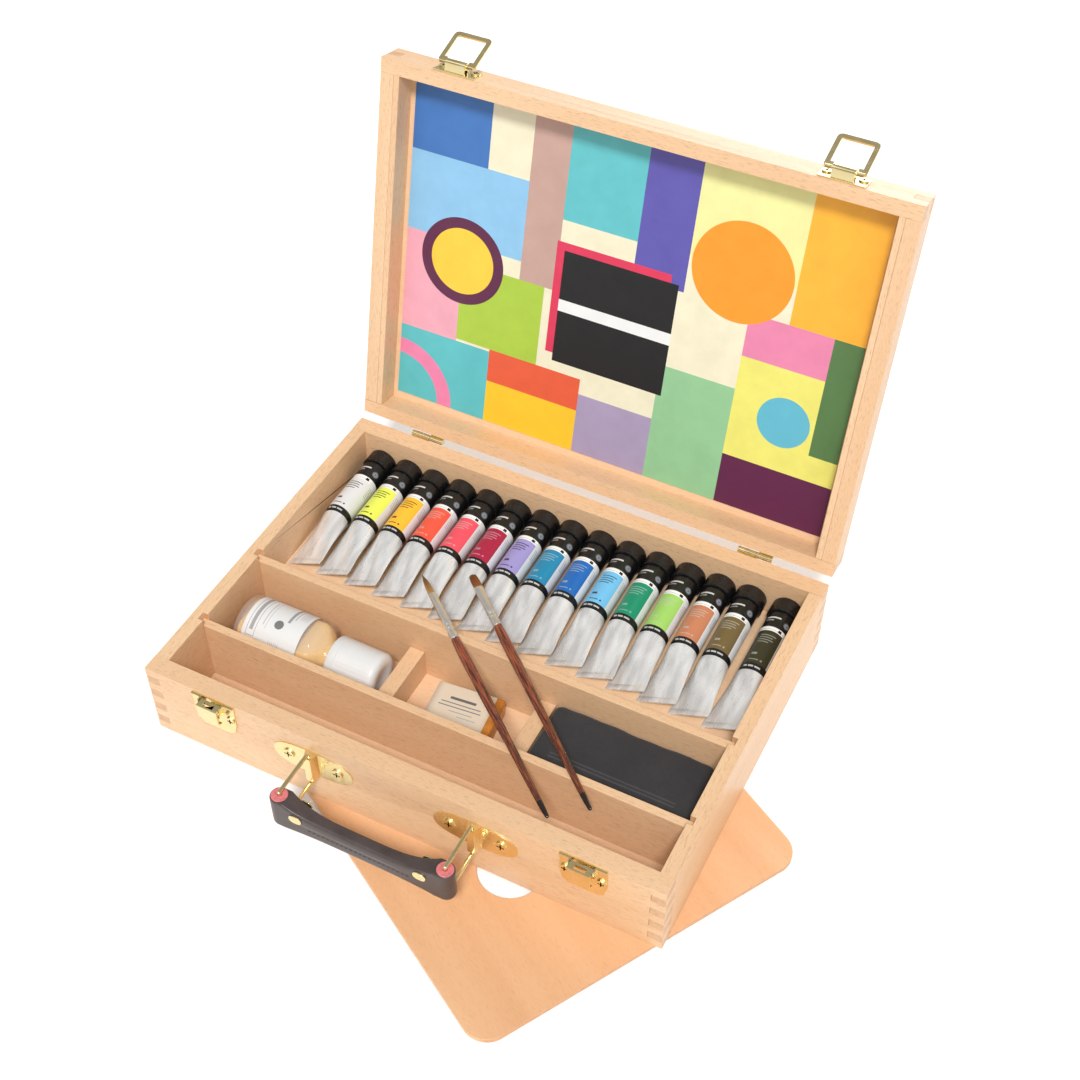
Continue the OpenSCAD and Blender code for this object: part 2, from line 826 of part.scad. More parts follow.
// One ring, drawn lying along the lid's face and then leaned outward
module ring(x) {
    opened()
        translate([x, ring_y, ring_z])
            rotate([ring_lean, 0, 0]) {
                rod_x([-ring_w / 2 + out, 0, 0], ring_bar_r, ring_w - 2 * out);
                translate([0, ring_t / 2, 0])
                    rotate([90, 0, 0])
                        linear_extrude(height = ring_t)
                            difference() {
                                polygon([[-ring_w / 2, 1], [-ring_w / 2 + 1.6, -1.2],
                                         [-bracket_w / 2 - 0.6, -1.2],
                                         [-bracket_w / 2 - 0.6, ring_strip],
                                         [bracket_w / 2 + 0.6, ring_strip], [bracket_w / 2 + 0.6, -1.2],
                                         [ring_w / 2 - 1.6, -1.2], [ring_w / 2, 1],
                                         [ring_w / 2, ring_l - 3], [ring_w / 2 - 0.9, ring_l - 0.9],
                                         [ring_w / 2 - 3, ring_l], [-ring_w / 2 + 3, ring_l],
                                         [-ring_w / 2 + 0.9, ring_l - 0.9], [-ring_w / 2, ring_l - 3]]);
                                polygon([[-ring_w / 2 + ring_strip, ring_strip + 0.4],
                                         [-ring_w / 2 + ring_strip, ring_l - ring_strip - 1],
                                         [-ring_w / 2 + ring_strip + 1, ring_l - ring_strip],
                                         [ring_w / 2 - ring_strip - 1, ring_l - ring_strip],
                                         [ring_w / 2 - ring_strip, ring_l - ring_strip - 1],
                                         [ring_w / 2 - ring_strip, ring_strip + 0.4],
                                         [bracket_w / 2 + 0.6, ring_strip + 0.4],
                                         [bracket_w / 2 + 0.6, ring_strip - 1],
                                         [-bracket_w / 2 - 0.6, ring_strip - 1],
                                         [-bracket_w / 2 - 0.6, ring_strip + 0.4]]);
                            }
            }
}

module ring_left() {
    color([0.92, 0.8, 0.45])
        ring(-catch_x);
}

module ring_right() {
    color([0.92, 0.8, 0.45])
        ring(catch_x);
}

fold_out = 7;
fold_w = 9;
fold_top_w = 5;
lens_n = 64;
lens_end = 0.72;
lens_side = 0.86;

// One point on a bracket's rounded edge: a wide oval with full ends
function lens_point(i) = let (t = 360 * i / lens_n)
    [sign(cos(t)) * handle_plate_w / 2 * pow(abs(cos(t)), lens_end),
     sign(sin(t)) * handle_plate_h / 2 * pow(abs(sin(t)), lens_side)];

module handle_brackets() {
    color([0.88, 0.72, 0.36])
        difference() {
            for (s = [-1, 1])
                translate([s * handle_x, y_front, handle_z]) {
                    rotate([90, 0, 0])
                        linear_extrude(height = plate_t)
                            polygon([for (i = [0 : lens_n - 1]) lens_point(i)]);
                    translate([0, 0, -handle_plate_h / 2])
                        linear_extrude(height = handle_plate_h)
                            polygon([[-fold_w / 2, 0], [-fold_w / 2, -plate_t], [-fold_top_w / 2, -fold_out],
                                     [fold_top_w / 2, -fold_out], [fold_w / 2, -plate_t], [fold_w / 2, 0]]);
                }
            for (s = [-1, 1])
                translate([s * handle_x, bail_y, handle_z - handle_plate_h])
                    cylinder(r = wire_r + run_gap, h = 2 * handle_plate_h, $fn = small_fn);
            handle_screw_holes();
        }
}

// One wire bail, a closed rectangle that stands straight out
module bail(x) {
    translate([x, bail_y, handle_z]) {
        for (y = [0, -bail_l])
            translate([0, y, -bail_half])
                cylinder(r = wire_r, h = 2 * bail_half, $fn = small_fn);
        for (s = [-1, 1]) {
            rod_y([0, -bail_l, s * bail_half], wire_r, bail_l);
            for (y = [0, -bail_l])
                translate([0, y, s * bail_half])
                    sphere(r = wire_r, $fn = small_fn);
        }
    }
}

module bail_left() {
    color([0.88, 0.74, 0.4])
        bail(-handle_x);
}

module bail_right() {
    color([0.88, 0.74, 0.4])
        bail(handle_x);
}

grip_n = 40;
cap_n = 8;
grip_level = 0.9;

// Share of the dip at a place along the grip, none at its ends
function grip_dip(u) = max(0, 1 - pow(abs(u) / grip_level, 4));

// Depth of the grip's back from its middle plane
function grip_back(u) = grip_t / 2 - grip_hollow * grip_dip(u);

// Points of the grip's back seen from above, and of its top seen from the front
function grip_along(i) = 2 * i / grip_n - 1;
function back_point(i) = [handle_x * grip_along(i), grip_back(grip_along(i))];
function top_point(i) = [handle_x * grip_along(i), grip_h / 2 - grip_sag * grip_dip(grip_along(i))];
function grip_round(x, a) = [x + grip_t / 2 * cos(a), grip_t / 2 * sin(a)];

// Openings for the rivets, seen along the grip
module rivet_bores() {
    for (s = [-1, 1])
        rod_y([s * rivet_x, grip_y - grip_t, handle_z + rivet_rise], rivet_shaft, 2 * grip_t);
}

rivet_shaft = 1.3;
rivet_seat = 0.03;
rivet_head_t = 1;
rivet_half_w = 1.2;
rivet_head_r = 3.5;

module grip() {
    color([0.22, 0.17, 0.16])
        difference() {
            intersection() {
                translate([0, grip_y, handle_z - grip_h / 2])
                    linear_extrude(height = grip_h)
                        polygon(concat([for (i = [0 : grip_n]) back_point(i)],
                                       [for (k = [1 : cap_n]) grip_round(handle_x, 90 - 180 * k / cap_n)],
                                       [for (k = [0 : cap_n - 1])
                                           grip_round(-handle_x, -90 - 180 * k / cap_n)]));
                translate([0, grip_y + grip_t, handle_z])
                    rotate([90, 0, 0])
                        linear_extrude(height = 2 * grip_t)
                            polygon(concat([[-handle_x - grip_t, -grip_h], [-handle_x - grip_t, grip_h / 2]],
                                           [for (i = [0 : grip_n]) top_point(i)],
                                           [[handle_x + grip_t, grip_h / 2], [handle_x + grip_t, -grip_h]]));
            }
            for (s = [-1, 1])
                translate([s * handle_x, grip_y, handle_z - grip_h])
                    cylinder(r = core_r, h = 2 * grip_h, $fn = small_fn);
            rivet_bores();
        }
}

module grip_cores() {
    color([0.85, 0.42, 0.42])
        for (s = [-1, 1])
            translate([s * handle_x, grip_y, handle_z - grip_h / 2])
                difference() {
                    cylinder(r = core_r, h = grip_h, $fn = small_fn);
                    translate([0, 0, -out])
                        cylinder(r = wire_r + run_gap, h = grip_h + 2 * out, $fn = small_fn);
                }
}

module grip_rivets() {
    color([0.88, 0.72, 0.36])
        for (s = [-1, 1]) {
            back = grip_back((rivet_x + rivet_half_w + rivet_head_r) / handle_x) + rivet_seat;
            rod_y([s * rivet_x, grip_y - grip_t / 2 - eps, handle_z + rivet_rise], rivet_shaft,
                  grip_t / 2 + back + 2 * eps);
            for (y = [grip_y - grip_t / 2 - rivet_head_t, grip_y + back]) {
                for (dx = [-rivet_half_w, rivet_half_w])
                    rod_y([s * rivet_x + dx, y, handle_z + rivet_rise], rivet_head_r, rivet_head_t);
                translate([s * rivet_x, y + rivet_head_t / 2, handle_z + rivet_rise])
                    cube([2 * rivet_half_w, rivet_head_t, 2 * rivet_head_r], center = true);
            }
        }
}

// A cross-slotted screw head with its shank, pointing out along -Y
module screw_out(p, shank, head) {
    difference() {
        union() {
            rod_y(p, screw_r, shank);
            rod_y([p[0], p[1] - screw_head_t, p[2]], head, screw_head_t);
        }
        translate([p[0], p[1] - screw_head_t, p[2]]) {
            cube([slot_share * head, 2 * slot_d, slot_w], center = true);
            cube([slot_w, 2 * slot_d, slot_share * head], center = true);
        }
    }
}

module base_screws() {
    color([0.8, 0.7, 0.45]) {
        for (s = [-1, 1]) {
            for (dx = [-catch_screw_x, catch_screw_x])
                screw_out([s * catch_x + dx, y_front - plate_t, rim_z - catch_screw_drop],
                          screw_l + plate_t, screw_head_r);
            for (dx = [-handle_screw_x, handle_screw_x])
                screw_out([s * handle_x + dx, y_front - plate_t, handle_z], screw_l + plate_t,
                          handle_head_r);
            for (dx = [-leaf_screw_x, leaf_screw_x]) {
                rod_y([s * hinge_x + dx, y_back - leaf_screw_l, rim_z - leaf_screw_h], leaf_screw_r,
                      leaf_screw_l + leaf_t);
                rod_y([s * hinge_x + dx, y_back + leaf_t, rim_z - leaf_screw_h], leaf_head_r, leaf_head_t);
            }
        }
    }
}

module lid_screws() {
    color([0.8, 0.7, 0.45])
        opened()
            for (s = [-1, 1]) {
                for (dx = [-ring_screw_x, ring_screw_x])
                    screw_out([s * catch_x + dx, y_front - plate_t, lid_z + ring_screw_h],
                              screw_l - over + plate_t, ring_head_r);
                for (dx = [-leaf_screw_x, leaf_screw_x]) {
                    rod_y([s * hinge_x + dx, y_back - leaf_screw_l, rim_z + leaf_screw_h], leaf_screw_r,
                          leaf_screw_l + leaf_t);
                    rod_y([s * hinge_x + dx, y_back + leaf_t, rim_z + leaf_screw_h], leaf_head_r,
                          leaf_head_t);
                }
            }
}

tube_sides = 24;
tail_gap = 0.6;

// Centre of one tube
function tube_x(i) = i == tube_n ? tube_last_x : tube_first_x + (i - 1) * tube_pitch;

// Sideways lean of a tube's folded end, which stays clear of the case's side
function tail_lean(i) = min(0, in_w / 2 - tail_gap - tube_x(i)
                               - norm([crimp_w / 2 * cos(crimp_turn), crimp_t / 2 * sin(crimp_turn)]));

// One point on a tube's ring: half width a along the folded end, half thickness b across it
function ring_point(k, a, b, y, z, x) = let (t = 360 * k / tube_sides)
    [x + a * cos(t) * cos(crimp_turn) - b * sin(t) * sin(crimp_turn), y,
     z + a * cos(t) * sin(crimp_turn) + b * sin(t) * cos(crimp_turn)];

// Number of a point on a tube's ring
function ring_id(ring, k) = ring * tube_sides + k % tube_sides;

// Faces of a closed surface through rings, with a flat face at each end
function ring_faces(last) = concat(
    [for (q = [0 : last - 1]) for (k = [0 : tube_sides - 1])
        [ring_id(q, k), ring_id(q + 1, k + 1), ring_id(q, k + 1)]],
    [for (q = [0 : last - 1]) for (k = [0 : tube_sides - 1])
        [ring_id(q, k), ring_id(q + 1, k), ring_id(q + 1, k + 1)]],
    [for (k = [1 : tube_sides - 2]) [ring_id(0, 0), ring_id(0, k), ring_id(0, k + 1)]],
    [for (k = [1 : tube_sides - 2]) [ring_id(last, 0), ring_id(last, k + 1), ring_id(last, k)]]);

// One tube without its cap, as one closed surface: round body, flattening tail and folded end
module tube(i) {
    lean = tail_lean(i);
    rings = [[tube_r, tube_r, cap_y - cap_l, tube_z, 0],
             [tube_r, tube_r, tail_y, tube_z, 0],
             [crimp_w / 2, crimp_t / 2, tube_end + crimp_l, crimp_z, lean],
             [crimp_w / 2, crimp_t / 2, tube_end, crimp_z, lean]];
    points = [for (q = rings) for (k = [0 : tube_sides - 1]) ring_point(k, q[0], q[1], q[2], q[3], q[4])];
    translate([tube_x(i), 0, 0])
        polyhedron(points = points, faces = ring_faces(len(rings) - 1), convexity = 4);
}

module tube_01() {
    color([0.9, 0.9, 0.9])
        tube(1);
}

module tube_02() {
    color([0.88, 0.9, 0.3])
        tube(2);
}

module tube_03() {
    color([0.98, 0.75, 0.2])
        tube(3);
}

module tube_04() {
    color([0.95, 0.35, 0.2])
        tube(4);
}

module tube_05() {
    color([0.92, 0.3, 0.35])
        tube(5);
}

module tube_06() {
    color([0.7, 0.12, 0.3])
        tube(6);
}

module tube_07() {
    color([0.6, 0.55, 0.8])
        tube(7);
}

module tube_08() {
    color([0.1, 0.5, 0.65])
        tube(8);
}

module tube_09() {
    color([0.15, 0.4, 0.75])
        tube(9);
}

module tube_10() {
    color([0.35, 0.7, 0.85])
        tube(10);
}

module tube_11() {
    color([0.1, 0.55, 0.45])
        tube(11);
}

module tube_12() {
    color([0.55, 0.75, 0.35])
        tube(12);
}

module tube_13() {
    color([0.75, 0.45, 0.3])
        tube(13);
}

module tube_14() {
    color([0.5, 0.42, 0.2])
        tube(14);
}

module tube_15() {
    color([0.25, 0.25, 0.15])
        tube(15);
}

module tube_caps() {
    color([0.08, 0.08, 0.08])
        for (i = [1 : tube_n])
            rod_y([tube_x(i), cap_y - cap_l, tube_z], cap_r, cap_l);
}

module bottle_glass() {
    color([0.9, 0.75, 0.5])
        translate([bottle_x, bottle_y, bottle_z])
            rotate([0, 90, 0])
                rotate_extrude($fn = round_fn)
                    polygon([[0, 0], [bottle_r - 2, 0], [bottle_r, 2], [bottle_r, bottle_l],
                             [bottle_r - 3, bottle_l + shoulder_l * 0.5], [neck_r, bottle_l + shoulder_l],
                             [neck_r, bottle_l + shoulder_l + neck_l],
                             [neck_r - glass_t, bottle_l + shoulder_l + neck_l],
                             [neck_r - glass_t, bottle_l + shoulder_l],
                             [bottle_r - 3 - glass_t, bottle_l + shoulder_l * 0.4],
                             [bottle_r - glass_t, bottle_l - glass_t], [bottle_r - glass_t, 2 + glass_t],
                             [bottle_r - 2 - glass_t, glass_t], [0, glass_t]]);
}

bore_end_gap = 0.5;

module bottle_cap() {
    color([0.96, 0.96, 0.96])
        difference() {
            rod_x([bottle_cap_x, bottle_y, bottle_z], bottle_cap_r, bottle_cap_l, round_fn);
            rod_x([bottle_cap_x - out, bottle_y, bottle_z], neck_r + run_gap,
                  out + neck_l - neck_bare + bore_end_gap, round_fn);
        }
}

module soap() {
    color([0.8, 0.5, 0.15])
        translate([soap_x, soap_y, floor_top + soap_h / 2])
            rotate([0, 0, soap_turn])
                cube([soap_w, soap_d, soap_h], center = true);
}

pouch_y = div_rear_y - pouch_d / 2 - 0.6;

module pouch() {
    color([0.07, 0.07, 0.07])
        translate([pouch_x, pouch_y, floor_top]) {
            for (sx = [-1, 1])
                for (sy = [-1, 1])
                    translate([sx * (pouch_w / 2 - pouch_corner), sy * (pouch_d / 2 - pouch_corner), 0])
                        cylinder(r = pouch_corner, h = pouch_h, $fn = small_fn);
            translate([0, 0, pouch_h / 2]) {
                cube([pouch_w - 2 * pouch_corner, pouch_d, pouch_h], center = true);
                cube([pouch_w, pouch_d - 2 * pouch_corner, pouch_h], center = true);
            }
        }
}

rest_gap = 0.02;
brush_1_x = brush_1_end_x - brush_1_l * cos(brush_1_turn);
brush_1_y = y_front + front_t + brush_1_gap - brush_1_l * sin(brush_1_turn);
brush_2_x = brush_2_end_x - brush_2_l * cos(brush_2_turn);
brush_2_y = y_front + front_t + brush_2_gap - brush_2_l * sin(brush_2_turn);
rest_n = 12;
joint_1 = hair_1_l + ferrule_1_l;
joint_2 = hair_2_l + ferrule_2_l;

// Distance along the handle and radius there, from the ferrule to the rounded end
function handle_line(start, l) = [[start, ferrule_big_r],
                                  [start + l * 0.06, handle_r - 0.25],
                                  [start + l * 0.14, handle_r],
                                  [start + l * 0.3, handle_r - 0.25],
                                  [start + l * 0.5, handle_r - 0.8],
                                  [start + l * 0.8, handle_end_r + 0.35],
                                  [start + l * 0.95, handle_end_r],
                                  [start + l * 0.985, handle_end_r - 0.5]];

// Radius of a brush at a distance from its tip
function brush_rad(s, joint, len) = s < joint ? ferrule_big_r : lookup(s, handle_line(joint, len - joint));

// Distance from a brush's tip to a place in the case's depth
function along(y, tip_y, turn) = (tip_y - y) / sin(-turn);

// Radius that rests on a divider whose front face is at y, for a brush that drops along its length
function rest_rad(y, tip_y, turn, joint, len, drop) =
    max([for (k = [0 : rest_n]) let (p = along(y + div_t * k / rest_n, tip_y, turn))
        brush_rad(p, joint, len) + drop * (p - along(y + div_t, tip_y, turn))]);

// Drop for each step along a brush that rests on both long dividers
function rest_drop(tip_y, turn, joint, len, drop) =
    (rest_rad(div_rear_y, tip_y, turn, joint, len, drop)
     - rest_rad(div_front_y, tip_y, turn, joint, len, drop))
        / (along(div_front_y + div_t, tip_y, turn) - along(div_rear_y + div_t, tip_y, turn));

// Places a brush with its tip at a point so that it rests on both long dividers
module brush_at(x, y, turn, joint, len) {
    first = rest_drop(y, turn, joint, len, 0);
    drop = rest_drop(y, turn, joint, len, first);
    r_rear = rest_rad(div_rear_y, y, turn, joint, len, drop);
    s_rear = along(div_rear_y + div_t, y, turn);
    translate([x, y, div_z + rest_gap + r_rear + drop * s_rear])
        rotate([0, 0, turn])
            rotate([0, 90 + atan(drop), 0])
                children();
}

// A turned handle from the ferrule to the rounded end
module brush_handle(start, end) {
    line = handle_line(start, end - start);
    rotate_extrude($fn = small_fn)
        polygon(concat([[0, start - over], [ferrule_big_r - 0.5, start - over],
                        [ferrule_big_r - 0.5, start]],
                       [for (p = line) [p[1], p[0]]], [[0, end]]));
}

// A ferrule with the crimp rings near the handle and a hollow for hair and handle
module ferrule(start, l) {
    rotate_extrude($fn = small_fn)
        polygon([[ferrule_r - 0.3, start], [ferrule_r, start], [ferrule_big_r, start + l * 0.62],
                 [ferrule_big_r, start + l * 0.8], [ferrule_big_r - 0.25, start + l * 0.83],
                 [ferrule_big_r, start + l * 0.86], [ferrule_big_r, start + l],
                 [ferrule_big_r - 0.5, start + l], [ferrule_big_r - 0.5, start + l - over],
                 [0, start + l - over], [0, start + l * 0.5], [ferrule_r - 0.3, start + l * 0.4]]);
}

// A ferrule pressed flat at the hair and round at the handle, with a hollow at each end
module flat_ferrule(start, l) {
    wall = 0.3;
    inner = (ferrule_big_r - 0.5) / cos(180 / tube_sides) + eps;
    rings = [[flat_w - wall, flat_t - wall, start + root_in + wall], [flat_w - wall, flat_t - wall, start],
             [flat_w, flat_t, start], [flat_w, flat_t + 0.15, start + l * 0.1],
             [ferrule_big_r, ferrule_big_r, start + l * 0.62],
             [ferrule_big_r, ferrule_big_r, start + l * 0.8],
             [ferrule_big_r - 0.25, ferrule_big_r - 0.25, start + l * 0.83],
             [ferrule_big_r, ferrule_big_r, start + l * 0.86], [ferrule_big_r, ferrule_big_r, start + l],
             [inner, inner, start + l], [inner, inner, start + l - over - 0.05]];
    points = [for (q = rings) for (k = [0 : tube_sides - 1]) let (t = 360 * k / tube_sides)
        [q[1] * cos(t), q[0] * sin(t), q[2]]];
    polyhedron(points = points, faces = ring_faces(len(rings) - 1), convexity = 4);
}

root_t = 1.5;
root_in = 3;
root_r = ferrule_r - 0.3;
foot_share = 0.42;
hair_short = 0.34;
flat_short = 0.1;
rim_n = 4 * hair_n;

// Maps a square from -1 to 1 onto a round disc
function disc_point(x, y) = [x * sqrt(1 - y * y / 2), y * sqrt(1 - x * x / 2)];

// Grid line number turned into a place across the square
function across(i) = 2 * i / hair_n - 1;

// Corner of the grid of hair roots
function root_corner(i, j) = root_r * disc_point(across(i), across(j));

// Middle of one hair's root
function root_middle(i, j) = root_r * disc_point(across(i + 0.5), across(j + 0.5));

// Corner k of one hair's root, counted round the cell
function foot_corner(i, j, k) =
    let (di = k == 1 || k == 2 ? 1 : 0, dj = k > 1 ? 1 : 0, m = root_middle(i, j))
        m + foot_share * (root_corner(i + di, j + dj) - m);

// Corner of the grid at place k round its edge
function edge_cell(k) = k < hair_n ? [k, 0] :
                        k < 2 * hair_n ? [hair_n, k - hair_n] :
                        k < 3 * hair_n ? [3 * hair_n - k, hair_n] : [0, 4 * hair_n - k];

// Numbers of the points in the hair's list
function id_grid(i, j) = j * (hair_n + 1) + i;
function id_foot(i, j, k) = (hair_n + 1) * (hair_n + 1) + 4 * (j * hair_n + i) + k % 4;
function id_tip(i, j) = id_foot(0, hair_n, 0) + j * hair_n + i;
function id_back(k) = id_tip(0, hair_n) + k % rim_n;
function id_edge(k) = let (e = edge_cell(k % rim_n)) id_grid(e[0], e[1]);
function id_cell(i, j, k) = id_grid(i + (k % 4 == 1 || k % 4 == 2 ? 1 : 0), j + (k % 4 > 1 ? 1 : 0));

// All hairs of one brush with the disc that holds their roots, as one closed surface:
// the hairs close towards the tip and the outer ones are shorter
module hair(tip_len, close, thick, wide, short) {
    z0 = tip_len + root_in - root_t;
    last = hair_n - 1;
    points = concat(
        [for (j = [0 : hair_n]) for (i = [0 : hair_n]) let (p = root_corner(i, j))
            [p[0] * thick, p[1] * wide, z0]],
        [for (j = [0 : last]) for (i = [0 : last]) for (k = [0 : 3])
            let (p = foot_corner(i, j, k)) [p[0] * thick, p[1] * wide, z0]],
        [for (j = [0 : last]) for (i = [0 : last])
            let (p = root_middle(i, j), l = z0 * (1 - short * pow(norm(p) / root_r, 2)),
                 g = 1 - (1 - close) * l / z0) [p[0] * g * thick, p[1] * g * wide, z0 - l]],
        [for (k = [0 : rim_n - 1]) let (e = edge_cell(k), p = root_corner(e[0], e[1]))
            [p[0] * thick, p[1] * wide, z0 + root_t]],
        [[0, 0, z0 + root_t]]);
    faces = concat(
        [for (j = [0 : last]) for (i = [0 : last]) for (k = [0 : 3])
            [id_cell(i, j, k), id_cell(i, j, k + 1), id_foot(i, j, k + 1)]],
        [for (j = [0 : last]) for (i = [0 : last]) for (k = [0 : 3])
            [id_cell(i, j, k), id_foot(i, j, k + 1), id_foot(i, j, k)]],
        [for (j = [0 : last]) for (i = [0 : last]) for (k = [0 : 3])
            [id_foot(i, j, k), id_foot(i, j, k + 1), id_tip(i, j)]],
        [for (k = [0 : rim_n - 1]) [id_edge(k + 1), id_edge(k), id_back(k)]],
        [for (k = [0 : rim_n - 1]) [id_edge(k + 1), id_back(k), id_back(k + 1)]],
        [for (k = [0 : rim_n - 1]) [id_back(k + 1), id_back(k), len(points) - 1]]);
    polyhedron(points = points, faces = faces, convexity = 10);
}

module brush_1_handle() {
    color([0.35, 0.12, 0.06])
        brush_at(brush_1_x, brush_1_y, brush_1_turn, joint_1, brush_1_l)
            brush_handle(joint_1, brush_1_l);
}

module brush_2_handle() {
    color([0.35, 0.12, 0.06])
        brush_at(brush_2_x, brush_2_y, brush_2_turn, joint_2, brush_2_l)
            brush_handle(joint_2, brush_2_l);
}

module brush_1_ferrule() {
    color([0.8, 0.8, 0.78])
        brush_at(brush_1_x, brush_1_y, brush_1_turn, joint_1, brush_1_l)
            ferrule(hair_1_l, ferrule_1_l);
}

module brush_2_ferrule() {
    color([0.8, 0.8, 0.78])
        brush_at(brush_2_x, brush_2_y, brush_2_turn, joint_2, brush_2_l)
            flat_ferrule(hair_2_l, ferrule_2_l);
}

module brush_1_hair() {
    color([0.55, 0.4, 0.2])
        brush_at(brush_1_x, brush_1_y, brush_1_turn, joint_1, brush_1_l)
            hair(hair_1_l, 0.3, 1, 1, hair_short);
}

module brush_2_hair() {
    color([0.45, 0.22, 0.12])
        brush_at(brush_2_x, brush_2_y, brush_2_turn, joint_2, brush_2_l)
            hair(hair_2_l, 0.85, (flat_t - 0.31) / root_r, (flat_w - 0.31) / root_r, flat_short);
}

module palette() {
    color([0.86, 0.68, 0.5])
        translate([palette_x, palette_y, 0])
            rotate([0, 0, palette_turn])
                difference() {
                    union() {
                        for (sx = [-1, 1])
                            for (sy = [-1, 1])
                                translate([sx * (palette_l / 2 - palette_corner),
                                           sy * (palette_w / 2 - palette_corner), 0])
                                    cylinder(r = palette_corner, h = palette_t, $fn = round_fn);
                        translate([0, 0, palette_t / 2]) {
                            cube([palette_l - 2 * palette_corner, palette_w, palette_t], center = true);
                            cube([palette_l, palette_w - 2 * palette_corner, palette_t], center = true);
                        }
                    }
                    translate([palette_l / 2 - thumb_end, -palette_w / 2 + thumb_side, -out])
                        cylinder(r = thumb_r, h = palette_t + 2 * out, $fn = round_fn);
                }
}

base_front();
base_back();
base_left();
base_right();
base_floor();
tube_floor();
divider_rear();
divider_front();
cross_dividers();
lid_front();
lid_back();
lid_left();
lid_right();
lid_panel();
lid_card();
lid_strips();
hinge_base_leaves();
hinge_lid_leaves();
pins();
catch_plates();
lever_left();
lever_right();
lid_catch_brackets();
ring_left();
ring_right();
handle_brackets();
bail_left();
bail_right();
grip();
grip_cores();
grip_rivets();
base_screws();
lid_screws();
tube_01();
tube_02();
tube_03();
tube_04();
tube_05();
tube_06();
tube_07();
tube_08();
tube_09();
tube_10();
tube_11();
tube_12();
tube_13();
tube_14();
tube_15();
tube_caps();
bottle_glass();
bottle_cap();
soap();
pouch();
brush_1_handle();
brush_2_handle();
brush_1_ferrule();
brush_2_ferrule();
brush_1_hair();
brush_2_hair();
palette();
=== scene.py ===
"""Visual model of a wooden gouache paint set box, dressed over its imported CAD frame."""

import json
import logging
import math
from dataclasses import dataclass, field
from enum import Enum
from typing import Callable, Dict, List, Mapping, Optional, Sequence, Tuple

import bmesh
import bpy
import numpy as np
from mathutils import Matrix

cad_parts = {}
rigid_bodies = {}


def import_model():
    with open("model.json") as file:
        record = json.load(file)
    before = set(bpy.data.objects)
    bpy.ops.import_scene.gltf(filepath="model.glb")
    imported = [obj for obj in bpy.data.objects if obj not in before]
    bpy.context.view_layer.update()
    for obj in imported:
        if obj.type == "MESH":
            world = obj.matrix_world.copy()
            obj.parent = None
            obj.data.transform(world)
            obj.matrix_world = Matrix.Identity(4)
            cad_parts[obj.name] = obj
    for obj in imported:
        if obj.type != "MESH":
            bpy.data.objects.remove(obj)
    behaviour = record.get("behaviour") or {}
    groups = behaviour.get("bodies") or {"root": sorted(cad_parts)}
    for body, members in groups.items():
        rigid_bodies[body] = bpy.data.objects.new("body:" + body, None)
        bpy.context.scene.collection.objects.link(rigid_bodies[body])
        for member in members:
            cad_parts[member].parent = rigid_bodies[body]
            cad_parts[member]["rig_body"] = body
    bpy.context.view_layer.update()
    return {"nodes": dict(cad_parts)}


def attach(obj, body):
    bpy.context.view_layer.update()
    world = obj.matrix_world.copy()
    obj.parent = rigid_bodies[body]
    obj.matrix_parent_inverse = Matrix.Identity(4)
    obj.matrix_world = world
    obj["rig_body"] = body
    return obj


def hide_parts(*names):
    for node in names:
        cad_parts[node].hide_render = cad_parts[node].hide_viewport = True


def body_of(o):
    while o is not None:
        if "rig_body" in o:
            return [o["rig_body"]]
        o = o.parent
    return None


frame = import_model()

logging.basicConfig(level=logging.INFO, format="%(name)s: %(message)s")
LOG = logging.getLogger("paint_box")

Rgb = Tuple[float, float, float]
Place = Tuple[float, float, float]
Pair = Tuple[float, float]
Socket = Tuple[str, str]
MM = 0.001
BACK_Y = 138.5
HINGE_OFF = 3.5
HINGE_Y = BACK_Y + HINGE_OFF
RIM_Z = 67.0
FLOOR_Z = 9.5
CATCH_X = 135.3
SUNFLOWER_TURN = 2.399963
LID_ANGLE = math.radians(103.0)


def linear(colour: Rgb) -> Tuple[float, float, float, float]:
    """Turns a screen colour into the linear colour that a shader takes.

    Args:
        colour: Red, green and blue from 0 to 1 as they look on a screen.

    Returns:
        The linear colour with full opacity.
    """
    c = np.asarray(colour, float)
    lin = np.where(c <= 0.04045, c / 12.92, ((c + 0.055) / 1.055) ** 2.4)
    return (float(lin[0]), float(lin[1]), float(lin[2]), 1.0)


def lid_matrix() -> Matrix:
    """Returns the turn that carries closed-lid places, in millimetres, to the open lid."""
    pivot = Matrix.Translation((0.0, HINGE_Y, RIM_Z))
    return pivot @ Matrix.Rotation(-LID_ANGLE, 4, "X") @ pivot.inverted()


# Surfaces


def quads(rows: int, cols: int, wrap: bool) -> np.ndarray:
    """Faces of a grid of points: face (i, j) joins rows i, i+1 and columns j, j+1.

    Args:
        rows: Number of point rows.
        cols: Number of points in a row.
        wrap: Whether the last column joins the first.

    Returns:
        An array of four point numbers per face.
    """
    i, j = np.meshgrid(np.arange(rows - 1), np.arange(cols if wrap else cols - 1), indexing="ij")
    k = (j + 1) % cols
    return np.stack([i * cols + j, i * cols + k, (i + 1) * cols + k, (i + 1) * cols + j], -1).reshape(-1, 4)


def carried(points: np.ndarray, matrix: Optional[Matrix] = None) -> np.ndarray:
    """Places points: p' = M p.

    Args:
        points: Points in millimetres, one per row.
        matrix: The placing matrix in millimetres, or None to leave them.

    Returns:
        The placed points.
    """
    if matrix is None:
        return points
    m = np.array(matrix)
    return points @ m[:3, :3].T + m[:3, 3]


